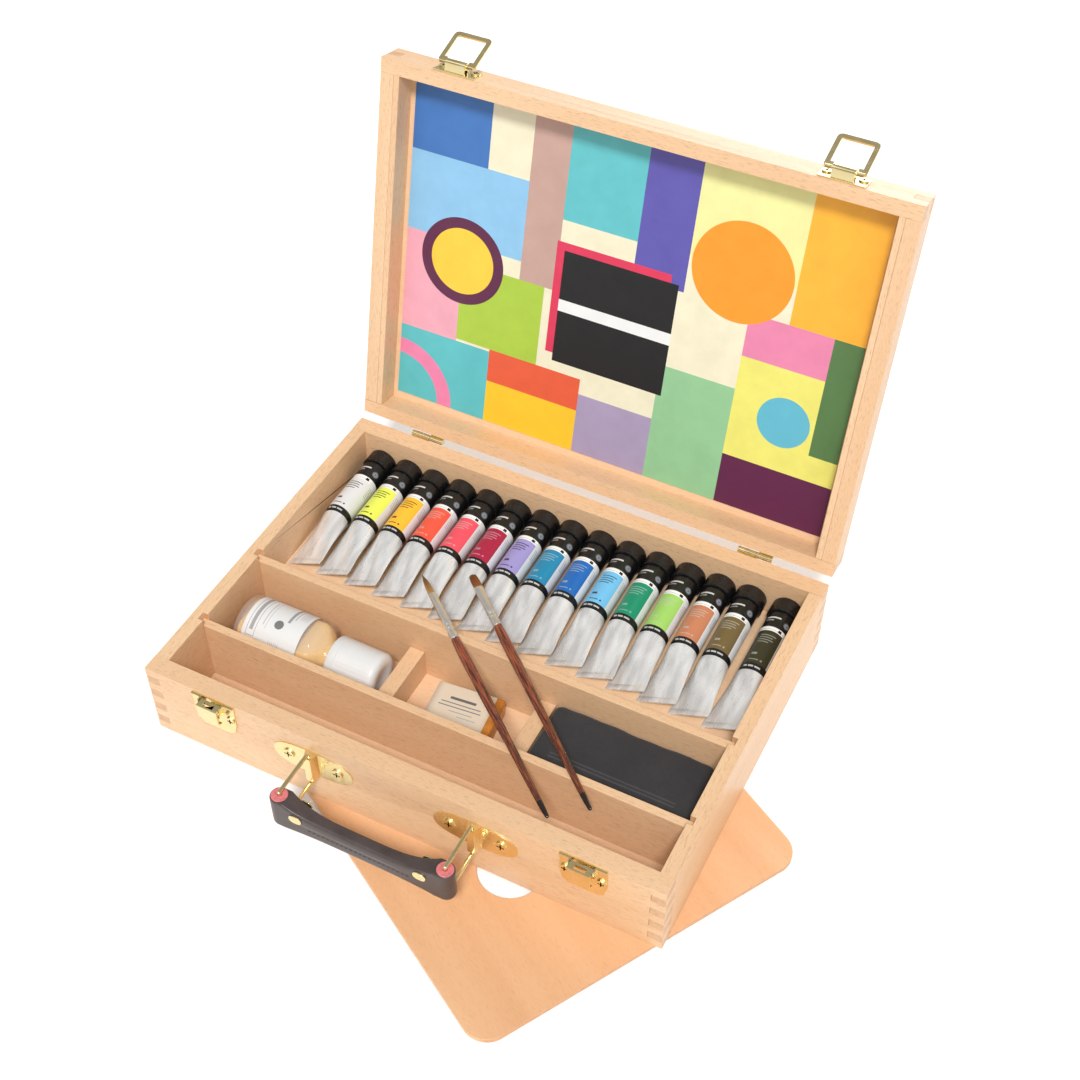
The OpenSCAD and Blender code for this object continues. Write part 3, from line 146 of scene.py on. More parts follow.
def shell(
    name: str,
    points: np.ndarray,
    faces: Sequence[Sequence[int]],
    uv: Optional[np.ndarray] = None,
    smooth: bool = True,
) -> bpy.types.Object:
    """Makes an object from points in millimetres.

    Args:
        name: The piece's name.
        points: Points in the row frame, in millimetres.
        faces: Point numbers of each face.
        uv: A place on the print for each point, or None.
        smooth: Whether faces are shaded smooth.

    Returns:
        The new object at the origin.
    """
    mesh = bpy.data.meshes.new(name)
    listed = faces.tolist() if isinstance(faces, np.ndarray) else [list(f) for f in faces]
    mesh.from_pydata((points * MM).tolist(), [], listed)
    if uv is not None:
        layer = mesh.uv_layers.new(name="print")
        corner = np.zeros(len(mesh.loops), np.int64)
        mesh.loops.foreach_get("vertex_index", corner)
        layer.data.foreach_set("uv", uv[corner].astype(np.float32).ravel())
    mesh.polygons.foreach_set("use_smooth", [smooth] * len(mesh.polygons))
    mesh.update()
    mesh.validate()
    obj = bpy.data.objects.new(name, mesh)
    bpy.context.scene.collection.objects.link(obj)
    return obj


def turned(
    name: str,
    profile: Sequence[Tuple[float, float]],
    sides: int,
    matrix: Matrix,
    ribs: Optional[Callable] = None,
    press: Optional[Callable] = None,
) -> bpy.types.Object:
    """A lathe shape: point (s, a) = (r(s) cos a, r(s) sin a, s), closed on the axis where r is 0.

    Args:
        name: The piece's name.
        profile: Pairs of distance along the axis and radius, in millimetres.
        sides: Number of points round the axis.
        matrix: Places the axis, drawn along +Z, in millimetres.
        ribs: Extra radius as a function of distance, radius and angle arrays, or None.
        press: Changes the points before they are placed, or None.

    Returns:
        The new object, with u round the axis and v along it in millimetres.
    """
    prof = np.asarray(profile, float)
    s = prof[:, 0][:, None]
    r = prof[:, 1][:, None]
    a = np.linspace(0.0, 2 * np.pi, sides, endpoint=False)[None, :]
    rad = r + (ribs(s, r, a) if ribs else 0.0)
    pts = np.stack([rad * np.cos(a), rad * np.sin(a), s + 0 * a], -1).reshape(-1, 3)
    if press is not None:
        pts = press(pts)
    uv = np.stack([a + 0 * s, s + 0 * a], -1).reshape(-1, 2)
    obj = shell(name, carried(pts, matrix), quads(len(prof), sides, True), uv)
    weld(obj)
    return obj


def weld(obj: bpy.types.Object, distance: float = 1e-6) -> None:
    """Merges points that lie together and points all faces outwards.

    Args:
        obj: The object whose mesh is mended.
        distance: The merging distance in metres.
    """
    bm = bmesh.new()
    bm.from_mesh(obj.data)
    bmesh.ops.remove_doubles(bm, verts=bm.verts, dist=distance)
    bmesh.ops.dissolve_degenerate(bm, edges=bm.edges, dist=1e-7)
    bmesh.ops.recalc_face_normals(bm, faces=bm.faces)
    bm.to_mesh(obj.data)
    bm.free()


def sharpen(obj: bpy.types.Object, angle: float) -> None:
    """Shades the edges that turn by more than an angle, in degrees, as sharp ones."""
    obj.data.set_sharp_from_angle(angle=math.radians(angle))


def rounded(obj: bpy.types.Object, width: float, segments: int = 2, angle: float = 32.0) -> None:
    """Rounds the sharp edges of a piece.

    Args:
        obj: The piece.
        width: Width of the rounding in millimetres.
        segments: Number of steps across the rounding.
        angle: Least edge angle that is rounded, in degrees.
    """
    mod = obj.modifiers.new("rounding", "BEVEL")
    mod.width = width * MM
    mod.segments = segments
    mod.limit_method = "ANGLE"
    mod.angle_limit = math.radians(angle)
    mod.harden_normals = True


def recut(node: str, width: float, segments: int = 2, angle: float = 32.0) -> bpy.types.Object:
    """Copies a CAD node, merges its loose triangles and rounds its edges.

    Args:
        node: The CAD node's name.
        width: Width of the rounding in millimetres.
        segments: Number of steps across the rounding.
        angle: Least edge angle that is rounded, in degrees.

    Returns:
        The finished piece, riding on the node's body.
    """
    source = frame["nodes"][node]
    mesh = source.data.copy()
    mesh.materials.clear()
    bm = bmesh.new()
    bm.from_mesh(mesh)
    bmesh.ops.remove_doubles(bm, verts=bm.verts, dist=2e-6)
    bmesh.ops.dissolve_limit(bm, angle_limit=math.radians(0.6), verts=bm.verts, edges=bm.edges)
    bm.to_mesh(mesh)
    bm.free()
    mesh.polygons.foreach_set("use_smooth", [True] * len(mesh.polygons))
    obj = bpy.data.objects.new("piece_" + node, mesh)
    bpy.context.scene.collection.objects.link(obj)
    sharpen(obj, angle)
    rounded(obj, width, segments, angle)
    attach(obj, body_of(source)[0])
    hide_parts(node)
    return obj


def repeated(cell: np.ndarray, count: int, step: int) -> np.ndarray:
    """Faces of equal meshes laid one after another: copy k's point numbers are k steps higher.

    Args:
        cell: Point numbers of the first copy's faces.
        count: Number of copies.
        step: Number of points in one copy.

    Returns:
        The faces of all copies.
    """
    return (cell[None] + (np.arange(count) * step)[:, None, None]).reshape(-1, 4)


def dress(obj: bpy.types.Object, material: bpy.types.Material) -> bpy.types.Object:
    """Gives a piece one material.

    Args:
        obj: The piece.
        material: Its material.

    Returns:
        The piece.
    """
    obj.data.materials.clear()
    obj.data.materials.append(material)
    return obj


# Node graphs


class Graph:
    """Short calls for building a node tree."""

    def __init__(self, tree: bpy.types.NodeTree) -> None:
        """Keeps the tree that nodes are added to."""
        self.tree = tree

    def node(self, kind: str, **values: object) -> bpy.types.Node:
        """Adds a node.

        Args:
            kind: The node's type without the ShaderNode prefix.
            **values: Attributes to set.

        Returns:
            The node.
        """
        made = self.tree.nodes.new(kind if kind.startswith("Node") else "ShaderNode" + kind)
        for key, value in values.items():
            setattr(made, key, value)
        return made

    def feed(self, socket: bpy.types.NodeSocket, value: object) -> None:
        """Links an output to a socket, or sets the socket's value.

        Args:
            socket: The input socket.
            value: An output socket, a number or a colour.
        """
        if isinstance(value, bpy.types.NodeSocket):
            self.tree.links.new(value, socket)
        else:
            socket.default_value = value

    def math(self, op: str, a: object, b: object = 0.0, clamp: bool = False) -> bpy.types.NodeSocket:
        """Works out one sum.

        Args:
            op: The Math node's operation.
            a: The first number or socket.
            b: The second number or socket.
            clamp: Whether the result is held between 0 and 1.

        Returns:
            The result.
        """
        n = self.node("Math", operation=op, use_clamp=clamp)
        self.feed(n.inputs[0], a)
        self.feed(n.inputs[1], b)
        return n.outputs[0]

    def times(self, a: object, b: object) -> bpy.types.NodeSocket:
        """Returns a times b."""
        return self.math("MULTIPLY", a, b)

    def plus(self, a: object, b: object) -> bpy.types.NodeSocket:
        """Returns a plus b."""
        return self.math("ADD", a, b)

    def place(self) -> bpy.types.NodeSocket:
        """Returns the place on a piece, in metres."""
        return self.node("TexCoord").outputs["Object"]

    def print_place(self) -> bpy.types.NodeSocket:
        """Returns the place on a piece's own print, as its mesh gives it."""
        return self.node("UVMap", uv_map="print").outputs[0]

    def noise(
        self, vector: object, scale: float, detail: float = 3.0, rough: float = 0.5
    ) -> bpy.types.NodeSocket:
        """Adds a noise.

        Args:
            vector: The place where it is read.
            scale: How fine it is.
            detail: Number of finer layers.
            rough: Share of the finer layers.

        Returns:
            The noise from 0 to 1.
        """
        n = self.node("TexNoise")
        self.feed(n.inputs["Vector"], vector)
        n.inputs["Scale"].default_value = scale
        n.inputs["Detail"].default_value = detail
        n.inputs["Roughness"].default_value = rough
        return n.outputs["Fac"]

    def mapping(
        self, vector: object, scale: Place = (1, 1, 1), turn: Place = (0, 0, 0), move: Place = (0, 0, 0)
    ) -> bpy.types.NodeSocket:
        """Scales, turns and moves a place.

        Args:
            vector: The place.
            scale: Scale along each axis.
            turn: Turn round each axis in radians.
            move: Shift after the turn.

        Returns:
            The new place.
        """
        n = self.node("Mapping")
        self.feed(n.inputs["Vector"], vector)
        n.inputs["Location"].default_value = move
        n.inputs["Rotation"].default_value = turn
        n.inputs["Scale"].default_value = scale
        return n.outputs[0]

    def span(
        self, value: object, low: float, high: float, to_low: float = 0.0, to_high: float = 1.0
    ) -> bpy.types.NodeSocket:
        """Carries a value from one range to another and holds it there.

        Args:
            value: The value.
            low: Value that becomes to_low.
            high: Value that becomes to_high.
            to_low: Start of the new range.
            to_high: End of the new range.

        Returns:
            The carried value.
        """
        n = self.node("MapRange")
        self.feed(n.inputs["Value"], value)
        for key, number in (("From Min", low), ("From Max", high), ("To Min", to_low), ("To Max", to_high)):
            n.inputs[key].default_value = number
        return n.outputs[0]

    def mix(self, share: object, a: object, b: object, blend: str = "MIX") -> bpy.types.NodeSocket:
        """Mixes two colours.

        Args:
            share: Share of the second colour.
            a: The first colour.
            b: The second colour.
            blend: The Mix node's way of blending.

        Returns:
            The mixed colour.
        """
        n = self.node("Mix", data_type="RGBA", blend_type=blend)
        self.feed(n.inputs[0], share)
        self.feed(n.inputs[6], a)
        self.feed(n.inputs[7], b)
        return n.outputs[2]

    def bump(self, height: object, strength: float, distance: float) -> bpy.types.NodeSocket:
        """Makes a normal from a height.

        Args:
            height: The height.
            strength: Strength of the bump.
            distance: Height of 1, in metres.

        Returns:
            The normal.
        """
        n = self.node("Bump")
        n.inputs["Strength"].default_value = strength
        n.inputs["Distance"].default_value = distance
        self.feed(n.inputs["Height"], height)
        return n.outputs[0]

    def group(self, tree: bpy.types.NodeTree, **values: object) -> bpy.types.Node:
        """Places a node group.

        Args:
            tree: The group's tree.
            **values: What its inputs get, by name, with _ for a space.

        Returns:
            The placed group.
        """
        n = self.node("Group", node_tree=tree)
        for key, value in values.items():
            self.feed(n.inputs[key.replace("_", " ")], value)
        return n

    def rubbed(
        self, vector: object, scale: float, low: float, high: float
    ) -> Mapping[str, bpy.types.NodeSocket]:
        """Places the handled surface.

        Args:
            vector: The place where it is read.
            scale: How fine its smears are.
            low: Least roughness.
            high: Greatest roughness.

        Returns:
            Its Marks, Roughness and Height.
        """
        return self.group(GROUPS.rubbed, Vector=vector, Scale=scale, Low=low, High=high).outputs

    def block(self, vector: object, box: Sequence[float]) -> bpy.types.NodeSocket:
        """Places a rectangle.

        Args:
            vector: The place where it is read.
            box: Its left, right, low and high edge.

        Returns:
            Its mask.
        """
        left, right, low, high = box
        return self.group(GROUPS.block, Vector=vector, Left=left, Right=right, Low=low, High=high).outputs[0]

    def disc(self, vector: object, ring: Sequence[float]) -> bpy.types.NodeSocket:
        """Places a ring, or a disc where the inner radius is below 0.

        Args:
            vector: The place where it is read.
            ring: Its centre's x and y, its inner radius and its outer radius.

        Returns:
            Its mask.
        """
        x, y, inner, outer = ring
        return self.group(GROUPS.disc, Vector=vector, X=x, Y=y, Inner=inner, Outer=outer).outputs[0]


def new_group(
    name: str, takes: Sequence[Socket], gives: Sequence[Socket]
) -> Tuple[bpy.types.NodeTree, Graph, bpy.types.Node, bpy.types.Node]:
    """Makes an empty node group.

    Args:
        name: The group's name.
        takes: Name and kind of each input.
        gives: Name and kind of each output.

    Returns:
        The tree, its graph, its input node and its output node.
    """
    tree = bpy.data.node_groups.new(name, "ShaderNodeTree")
    kinds = {"colour": "NodeSocketColor", "number": "NodeSocketFloat", "vector": "NodeSocketVector"}
    for label, kind in takes:
        tree.interface.new_socket(name=label, in_out="INPUT", socket_type=kinds[kind])
    for label, kind in gives:
        tree.interface.new_socket(name=label, in_out="OUTPUT", socket_type=kinds[kind])
    g = Graph(tree)
    return tree, g, g.node("NodeGroupInput"), g.node("NodeGroupOutput")


class Groups:
    """The shared effects, each built once."""

    def __init__(self) -> None:
        """Builds every group."""
        self.grain = self._grain()
        self.rubbed = self._rubbed()
        self.block = self._block()
        self.disc = self._disc()

    @staticmethod
    def _grain() -> bpy.types.NodeTree:
        """Beech: slow bands along X, short dark flecks along X and darker end grain.

        Returns:
            The group, which reads a vector in metres whose X runs with the grain.
        """
        tree, g, i, o = new_group(
            "beech_grain",
            [
                ("Vector", "vector"),
                ("Normal X", "number"),
                ("Pale", "colour"),
                ("Deep", "colour"),
                ("Flecks", "number"),
            ],
            [("Color", "colour"), ("Roughness", "number"), ("Height", "number")],
        )
        v = i.outputs["Vector"]
        bands = g.noise(g.mapping(v, (3.5, 45.0, 45.0)), 1.0, 4.0, 0.55)
        wide = g.noise(g.mapping(v, (1.2, 12.0, 12.0), move=(3.1, 0.4, 0.2)), 1.0, 2.0)
        fleck = g.noise(g.mapping(v, (190.0, 1700.0, 1700.0)), 1.0, 2.0, 0.6)
        dash = g.span(fleck, 0.55, 0.68)
        fine = g.noise(g.mapping(v, (30.0, 1600.0, 1600.0)), 1.0, 2.0)
        tone = g.plus(g.times(g.span(bands, 0.3, 0.7), 0.6), g.times(g.span(wide, 0.3, 0.7), 0.4))
        base = g.mix(tone, i.outputs["Pale"], i.outputs["Deep"])
        fleck_tint = g.mix(0.5, i.outputs["Deep"], (0.22, 0.1, 0.04, 1.0))
        marked = g.mix(g.times(dash, i.outputs["Flecks"]), base, fleck_tint)
        end = g.span(g.math("ABSOLUTE", i.outputs["Normal X"]), 0.6, 0.85)
        rings = g.noise(g.mapping(v, (100.0, 240.0, 240.0)), 1.0, 2.0)
        deep_end = g.mix(g.span(rings, 0.35, 0.65, 0.15, 0.4), i.outputs["Deep"], (0.35, 0.17, 0.07, 1.0))
        g.feed(o.inputs["Color"], g.mix(end, marked, deep_end))
        g.feed(o.inputs["Roughness"], g.span(fine, 0.3, 0.7, 0.36, 0.5))
        g.feed(o.inputs["Height"], g.plus(fine, g.times(dash, -0.6)))
        return tree

    @staticmethod
    def _rubbed() -> bpy.types.NodeTree:
        """Handled surface: faint smears and fine marks.

        Returns:
            The group, which gives a share for marks, a roughness and a height.
        """
        tree, g, i, o = new_group(
            "rubbed_surface",
            [("Vector", "vector"), ("Scale", "number"), ("Low", "number"), ("High", "number")],
            [("Marks", "number"), ("Roughness", "number"), ("Height", "number")],
        )
        v = g.node("VectorMath", operation="SCALE")
        g.feed(v.inputs[0], i.outputs["Vector"])
        g.feed(v.inputs["Scale"], i.outputs["Scale"])
        smear = g.noise(v.outputs[0], 1.0, 4.0, 0.6)
        fine = g.noise(v.outputs[0], 14.0, 2.0, 0.6)
        marks = g.span(smear, 0.35, 0.7)
        n = g.node("Mix", data_type="FLOAT")
        g.feed(n.inputs[0], marks)
        g.feed(n.inputs[2], i.outputs["Low"])
        g.feed(n.inputs[3], i.outputs["High"])
        g.feed(o.inputs["Marks"], marks)
        g.feed(o.inputs["Roughness"], n.outputs[0])
        g.feed(o.inputs["Height"], fine)
        return tree

    @staticmethod
    def _block() -> bpy.types.NodeTree:
        """Rectangle mask: 1 where Left < x < Right and Low < y < High.

        Returns:
            The group.
        """
        tree, g, i, o = new_group(
            "print_block",
            [("Vector", "vector")] + [(side, "number") for side in ("Left", "Right", "Low", "High")],
            [("Mask", "number")],
        )
        split = g.node("SeparateXYZ")
        g.feed(split.inputs[0], i.outputs["Vector"])
        within = []
        for place, (least, most) in zip(split.outputs, (("Left", "Right"), ("Low", "High"))):
            above = g.math("GREATER_THAN", place, i.outputs[least])
            below = g.math("LESS_THAN", place, i.outputs[most])
            within.append(g.times(above, below))
        g.feed(o.inputs["Mask"], g.times(within[0], within[1]))
        return tree

    @staticmethod
    def _disc() -> bpy.types.NodeTree:
        """Ring mask: 1 where Inner < distance from (X, Y) < Outer.

        Returns:
            The group.
        """
        tree, g, i, o = new_group(
            "print_disc",
            [("Vector", "vector")] + [(size, "number") for size in ("X", "Y", "Inner", "Outer")],
            [("Mask", "number")],
        )
        split = g.node("SeparateXYZ")
        g.feed(split.inputs[0], i.outputs["Vector"])
        dx = g.math("SUBTRACT", split.outputs[0], i.outputs["X"])
        dy = g.math("SUBTRACT", split.outputs[1], i.outputs["Y"])
        away = g.math("SQRT", g.plus(g.times(dx, dx), g.times(dy, dy)))
        past_inner = g.math("GREATER_THAN", away, i.outputs["Inner"])
        in_outer = g.math("LESS_THAN", away, i.outputs["Outer"])
        g.feed(o.inputs["Mask"], g.times(past_inner, in_outer))
        return tree


GROUPS = Groups()


# Finishes


@dataclass(frozen=True)
class Finish:
    """A surface finish with a name and a ground colour."""

    name: str
    colour: Rgb = (0.8, 0.8, 0.8)

    def start(self) -> Tuple[bpy.types.Material, Graph, bpy.types.Node]:
        """Makes an empty material.

        Returns:
            The material, its graph and its Principled shader.
        """
        mat = bpy.data.materials.new(self.name)
        mat.use_nodes = True
        mat.node_tree.nodes.clear()
        g = Graph(mat.node_tree)
        shader = g.node("BsdfPrincipled")
        out = g.node("OutputMaterial")
        g.feed(out.inputs["Surface"], shader.outputs[0])
        mat.diffuse_color = linear(self.colour)
        return mat, g, shader


class Run(Enum):
    """Which way the grain of a board runs, as a turn that lays it along X."""

    ACROSS = (0.0, 0.0, 0.0)
    BACK = (0.0, 0.0, math.pi / 2)
    LID_BACK = (LID_ANGLE, 0.0, math.pi / 2)
    PALETTE = (0.0, 0.0, math.radians(30.2))


@dataclass(frozen=True)
class WoodFinish(Finish):
    """Clear-coated pale wood with its grain along one run."""

    deep: Rgb = (0.86, 0.66, 0.46)
    run: Run = Run.ACROSS
    flecks: float = 0.5
    bump: float = 0.12
    seed: float = 0.0

    def material(self) -> bpy.types.Material:
        """Makes the material.

        Returns:
            The finished wood.
        """
        mat, g, shader = self.start()
        at = g.node("TexCoord")
        turn = self.run.value
        place = at.outputs["Object"]
        facing = at.outputs["Normal"]
        if self.run is Run.LID_BACK:
            place = g.mapping(place, turn=(turn[0], 0, 0))
            facing = g.mapping(facing, turn=(turn[0], 0, 0))
            turn = (0.0, 0.0, turn[2])
        place = g.mapping(place, turn=turn, move=(self.seed, self.seed * 0.37, self.seed * 0.71))
        facing = g.mapping(facing, turn=turn)
        split = g.node("SeparateXYZ")
        g.feed(split.inputs[0], facing)
        wood = g.group(
            GROUPS.grain,
            Vector=place,
            Normal_X=split.outputs[0],
            Pale=linear(self.colour),
            Deep=linear(self.deep),
            Flecks=self.flecks,
        )
        g.feed(shader.inputs["Base Color"], wood.outputs["Color"])
        g.feed(shader.inputs["Roughness"], wood.outputs["Roughness"])
        g.feed(shader.inputs["Normal"], g.bump(wood.outputs["Height"], self.bump, 0.0004))
        shader.inputs["Coat Weight"].default_value = 0.12
        shader.inputs["Coat Roughness"].default_value = 0.35
        return mat


@dataclass(frozen=True)
class MetalFinish(Finish):
    """Polished or satin metal with faint smears."""

    low: float = 0.16
    high: float = 0.3
    worn: Rgb = (0.95, 0.85, 0.6)
    bump: float = 0.05

    def material(self) -> bpy.types.Material:
        """Makes the material.

        Returns:
            The finished metal.
        """
        mat, g, shader = self.start()
        marks = g.rubbed(g.place(), 140.0, self.low, self.high)
        tint = g.mix(g.times(marks["Marks"], 0.5), linear(self.colour), linear(self.worn))
        g.feed(shader.inputs["Base Color"], tint)
        g.feed(shader.inputs["Roughness"], marks["Roughness"])
        g.feed(shader.inputs["Normal"], g.bump(marks["Height"], self.bump, 0.0001))
        shader.inputs["Metallic"].default_value = 1.0
        return mat


@dataclass(frozen=True)
class MouldedFinish(Finish):
    """Plastic, thread or dyed core with a little variation."""

    other: Rgb = (0.8, 0.8, 0.8)
    low: float = 0.3
    high: float = 0.45
    scale: float = 120.0
    share: float = 0.35
    bump: float = 0.06

    def material(self) -> bpy.types.Material:
        """Makes the material.

        Returns:
            The finished plastic.
        """
        mat, g, shader = self.start()
        marks = g.rubbed(g.place(), self.scale, self.low, self.high)
        tint = g.mix(g.times(marks["Marks"], self.share), linear(self.colour), linear(self.other))
        g.feed(shader.inputs["Base Color"], tint)
        g.feed(shader.inputs["Roughness"], marks["Roughness"])
        g.feed(shader.inputs["Normal"], g.bump(marks["Height"], self.bump, 0.0002))
        return mat


@dataclass(frozen=True)
class LeatherFinish(Finish):
    """Smooth dark leather with a fine pebble and lighter rubbed places."""

    rub: Rgb = (0.36, 0.31, 0.3)

    def material(self) -> bpy.types.Material:
        """Makes the material.

        Returns:
            The finished leather.
        """
        mat, g, shader = self.start()
        marks = g.rubbed(g.place(), 60.0, 0.30, 0.48)
        pebble = g.node("TexVoronoi", feature="SMOOTH_F1")
        g.feed(pebble.inputs["Vector"], g.place())
        pebble.inputs["Scale"].default_value = 1100.0
        tint = g.mix(g.times(marks["Marks"], 0.55), linear(self.colour), linear(self.rub))
        g.feed(shader.inputs["Base Color"], tint)
        g.feed(shader.inputs["Roughness"], marks["Roughness"])
        height = g.plus(pebble.outputs["Distance"], g.times(marks["Height"], 0.4))
        g.feed(shader.inputs["Normal"], g.bump(height, 0.35, 0.0002))
        return mat


@dataclass(frozen=True)
class FeltFinish(Finish):
    """Black felt with a soft nap and a pressed double line."""

    nap: Rgb = (0.13, 0.13, 0.14)
    line_x: Pair = (0.072, 0.162)
    lines_y: Tuple[Pair, ...] = ((-0.0625, -0.0612), (-0.0597, -0.0584))

    def material(self) -> bpy.types.Material:
        """Makes the material.

        Returns:
            The finished felt.
        """
        mat, g, shader = self.start()
        nap = g.noise(g.place(), 900.0, 4.0, 0.7)
        cloud = g.noise(g.place(), 45.0, 3.0)
        share = g.times(g.span(nap, 0.3, 0.75), g.span(cloud, 0.3, 0.75, 0.35, 1.0))
        first, second = [g.block(g.place(), self.line_x + line) for line in self.lines_y]
        press = g.plus(first, second)
        cloth = g.mix(share, linear(self.colour), linear(self.nap))
        g.feed(shader.inputs["Base Color"], g.mix(g.times(press, 0.5), cloth, linear((0.30, 0.30, 0.31))))
        g.feed(shader.inputs["Roughness"], g.span(nap, 0.3, 0.7, 0.75, 0.95))
        wave = g.noise(g.mapping(g.place(), (26.0, 60.0, 60.0), turn=(0.0, 0.0, 0.5)), 1.0, 2.0, 0.5)
        height = g.math("SUBTRACT", g.times(nap, 0.5), g.times(press, 1.6))
        height = g.plus(height, g.times(wave, 9.0))
        g.feed(shader.inputs["Normal"], g.bump(height, 0.6, 0.0004))
        shader.inputs["Sheen Weight"].default_value = 0.35
        shader.inputs["Sheen Roughness"].default_value = 0.5
        shader.inputs["Sheen Tint"].default_value = (0.4, 0.4, 0.45, 1.0)
        return mat


@dataclass(frozen=True)
class GlassFinish(Finish):
    """Thin clear glass that lets light through by its cover, or a clear liquid with a colour of its own."""

    rough: float = 0.02
    ior: float = 1.45
    depth: Rgb = (1.0, 1.0, 1.0)
    clear: float = 1.0
    cover: float = 1.0

    def material(self) -> bpy.types.Material:
        """Makes the material.

        Returns:
            The finished glass.
        """
        mat, g, shader = self.start()
        ripple = g.noise(g.place(), 60.0, 2.0)
        tint = g.mix(g.span(ripple, 0.3, 0.7, 0.0, 0.3), linear(self.colour), linear(self.depth))
        g.feed(shader.inputs["Base Color"], tint)
        g.feed(shader.inputs["Normal"], g.bump(ripple, 0.05, 0.0005))
        shader.inputs["Roughness"].default_value = self.rough
        shader.inputs["IOR"].default_value = self.ior
        shader.inputs["Transmission Weight"].default_value = self.clear
        shader.inputs["Alpha"].default_value = self.cover
        return mat


@dataclass(frozen=True)
class SoapFinish(Finish):
    """Waxy translucent bar with darker clouds."""

    cloudy: Rgb = (0.68, 0.4, 0.1)

    def material(self) -> bpy.types.Material:
        """Makes the material.

        Returns:
            The finished soap.
        """
        mat, g, shader = self.start()
        cloud = g.noise(g.place(), 120.0, 3.0)
        tint = g.mix(g.span(cloud, 0.3, 0.7), linear(self.colour), linear(self.cloudy))
        g.feed(shader.inputs["Base Color"], tint)
        g.feed(shader.inputs["Roughness"], g.span(cloud, 0.3, 0.7, 0.25, 0.4))
        g.feed(shader.inputs["Normal"], g.bump(cloud, 0.1, 0.0003))
        shader.inputs["Subsurface Weight"].default_value = 0.25
        shader.inputs["Subsurface Scale"].default_value = 0.004
        shader.inputs["Subsurface Radius"].default_value = (1.0, 0.5, 0.15)
        return mat


@dataclass(frozen=True)
class TubeFinish(Finish):
    """Printed aluminium paint tube: bands along the length, then bare metal.

    The print reads u round the tube in millimetres from its top and v along it from the cap.
    """

    round_all: Pair = (-40.0, 40.0)
    head: Pair = (-1.0, 16.2)
    collar: Pair = (16.2, 20.2)
    panel: Pair = (20.2, 52.0)
    foot: Pair = (52.0, 57.4)
    printed_end: float = 58.5
    metallic: float = 0.4

    def steps(self, g: Graph) -> List[Tuple[bpy.types.NodeSocket, object]]:
        """Lists the print from the ground up: bands, then plain bars, dots and a round mark.

        Args:
            g: The material's graph.

        Returns:
            A mask and a colour for each printed shape.
        """
        uv = g.print_place()
        black = linear((0.07, 0.07, 0.07))
        pale = 0.75 if sum(self.colour) < 1.9 else 0.0
        ink = linear(tuple(0.35 * c + 0.65 * pale for c in self.colour))
        side_grey = linear((0.62, 0.63, 0.64))
        foot_bar = linear((0.72, 0.72, 0.70))
        blocks = [
            (self.round_all + self.panel, linear(self.colour)),
            (self.round_all + self.head, black),
            (self.round_all + self.collar, linear((0.94, 0.94, 0.93))),
            (self.round_all + (18.6, 18.9), linear((0.6, 0.6, 0.6))),
            ((8.6, 25.0, 16.2, 52), linear((0.86, 0.865, 0.87))),
            ((3.6, 6.2, 17.0, 19.4), black),
            (self.round_all + self.foot, black),
        ]
        for sides in ((-8.0, -5.2), (-4.4, -0.6), (0.2, 4.6)):
            blocks.append((sides + (54.0, 55.2), foot_bar))
        blocks += [
            ((-9.5, 1.5, 6.4, 7.8), linear((0.80, 0.80, 0.79))),
            ((-9.5, -3.0, 9.2, 10.2), linear((0.62, 0.62, 0.61))),
            ((-6.6, -2.4, 42.0, 44.0), ink),
            ((-6.6, 0.6, 48.2, 49.0), ink),
        ]
        for right, v in ((4.6, 24.2), (2.8, 26.4), (3.6, 28.6), (1.0, 30.8)):
            blocks.append(((-7.0, right, v, v + 0.75), ink))
        for v in (22.6, 24.4, 26.2, 28.0, 29.8, 31.6):
            blocks.append(((10.2, 15.5, v, v + 0.5), side_grey))
        rounds = [
            ((7.4, 10.4, -1.0, 2.7), linear((0.40, 0.42, 0.45))),
            ((7.4, 10.4, -1.0, 1.9), linear((0.52, 0.54, 0.58))),
            ((7.4, 10.4, -1.0, 0.8), linear((0.36, 0.38, 0.40))),
            ((2.6, 48.6, -1.0, 0.8), ink),
        ]
        masks = [(g.block(uv, box), tint) for box, tint in blocks]
        return masks + [(g.disc(uv, ring), tint) for ring, tint in rounds]

    def material(self) -> bpy.types.Material:
        """Makes the material.

        Returns:
            The finished paint tube's print and bare metal.
        """
        mat, g, shader = self.start()
        metal = g.rubbed(g.mapping(g.place(), (260.0, 40.0, 260.0)), 1.0, 0.26, 0.36)
        crease = g.noise(g.mapping(g.place(), (75.0, 26.0, 75.0)), 1.0, 1.0, 0.4)
        facet = g.node("TexVoronoi", feature="SMOOTH_F1")
        g.feed(facet.inputs["Vector"], g.mapping(g.place(), (80.0, 34.0, 80.0)))
        facet.inputs["Scale"].default_value = 1.0
        bare = g.math("SUBTRACT", 1.0, g.block(g.print_place(), self.round_all + (-2.0, self.printed_end)))
        pressed = g.times(facet.outputs["Distance"], bare)
        sheen = g.noise(g.mapping(g.place(), (170.0, 22.0, 170.0)), 1.0, 2.0, 0.45)
        colour = g.mix(g.span(sheen, 0.35, 0.65), linear((0.84, 0.84, 0.835)), linear((0.955, 0.955, 0.95)))
        print_share = 0.0
        for mask, tint in self.steps(g):
            colour = g.mix(mask, colour, tint)
            print_share = g.math("MAXIMUM", print_share, mask)
        g.feed(shader.inputs["Base Color"], colour)
        g.feed(shader.inputs["Metallic"], g.times(g.math("SUBTRACT", 1.0, print_share), self.metallic))
        g.feed(shader.inputs["Roughness"], g.plus(metal["Roughness"], g.times(print_share, 0.02)))
        g.feed(shader.inputs["Normal"], g.bump(g.plus(crease, g.times(pressed, 0.9)), 0.6, 0.0012))
        return mat


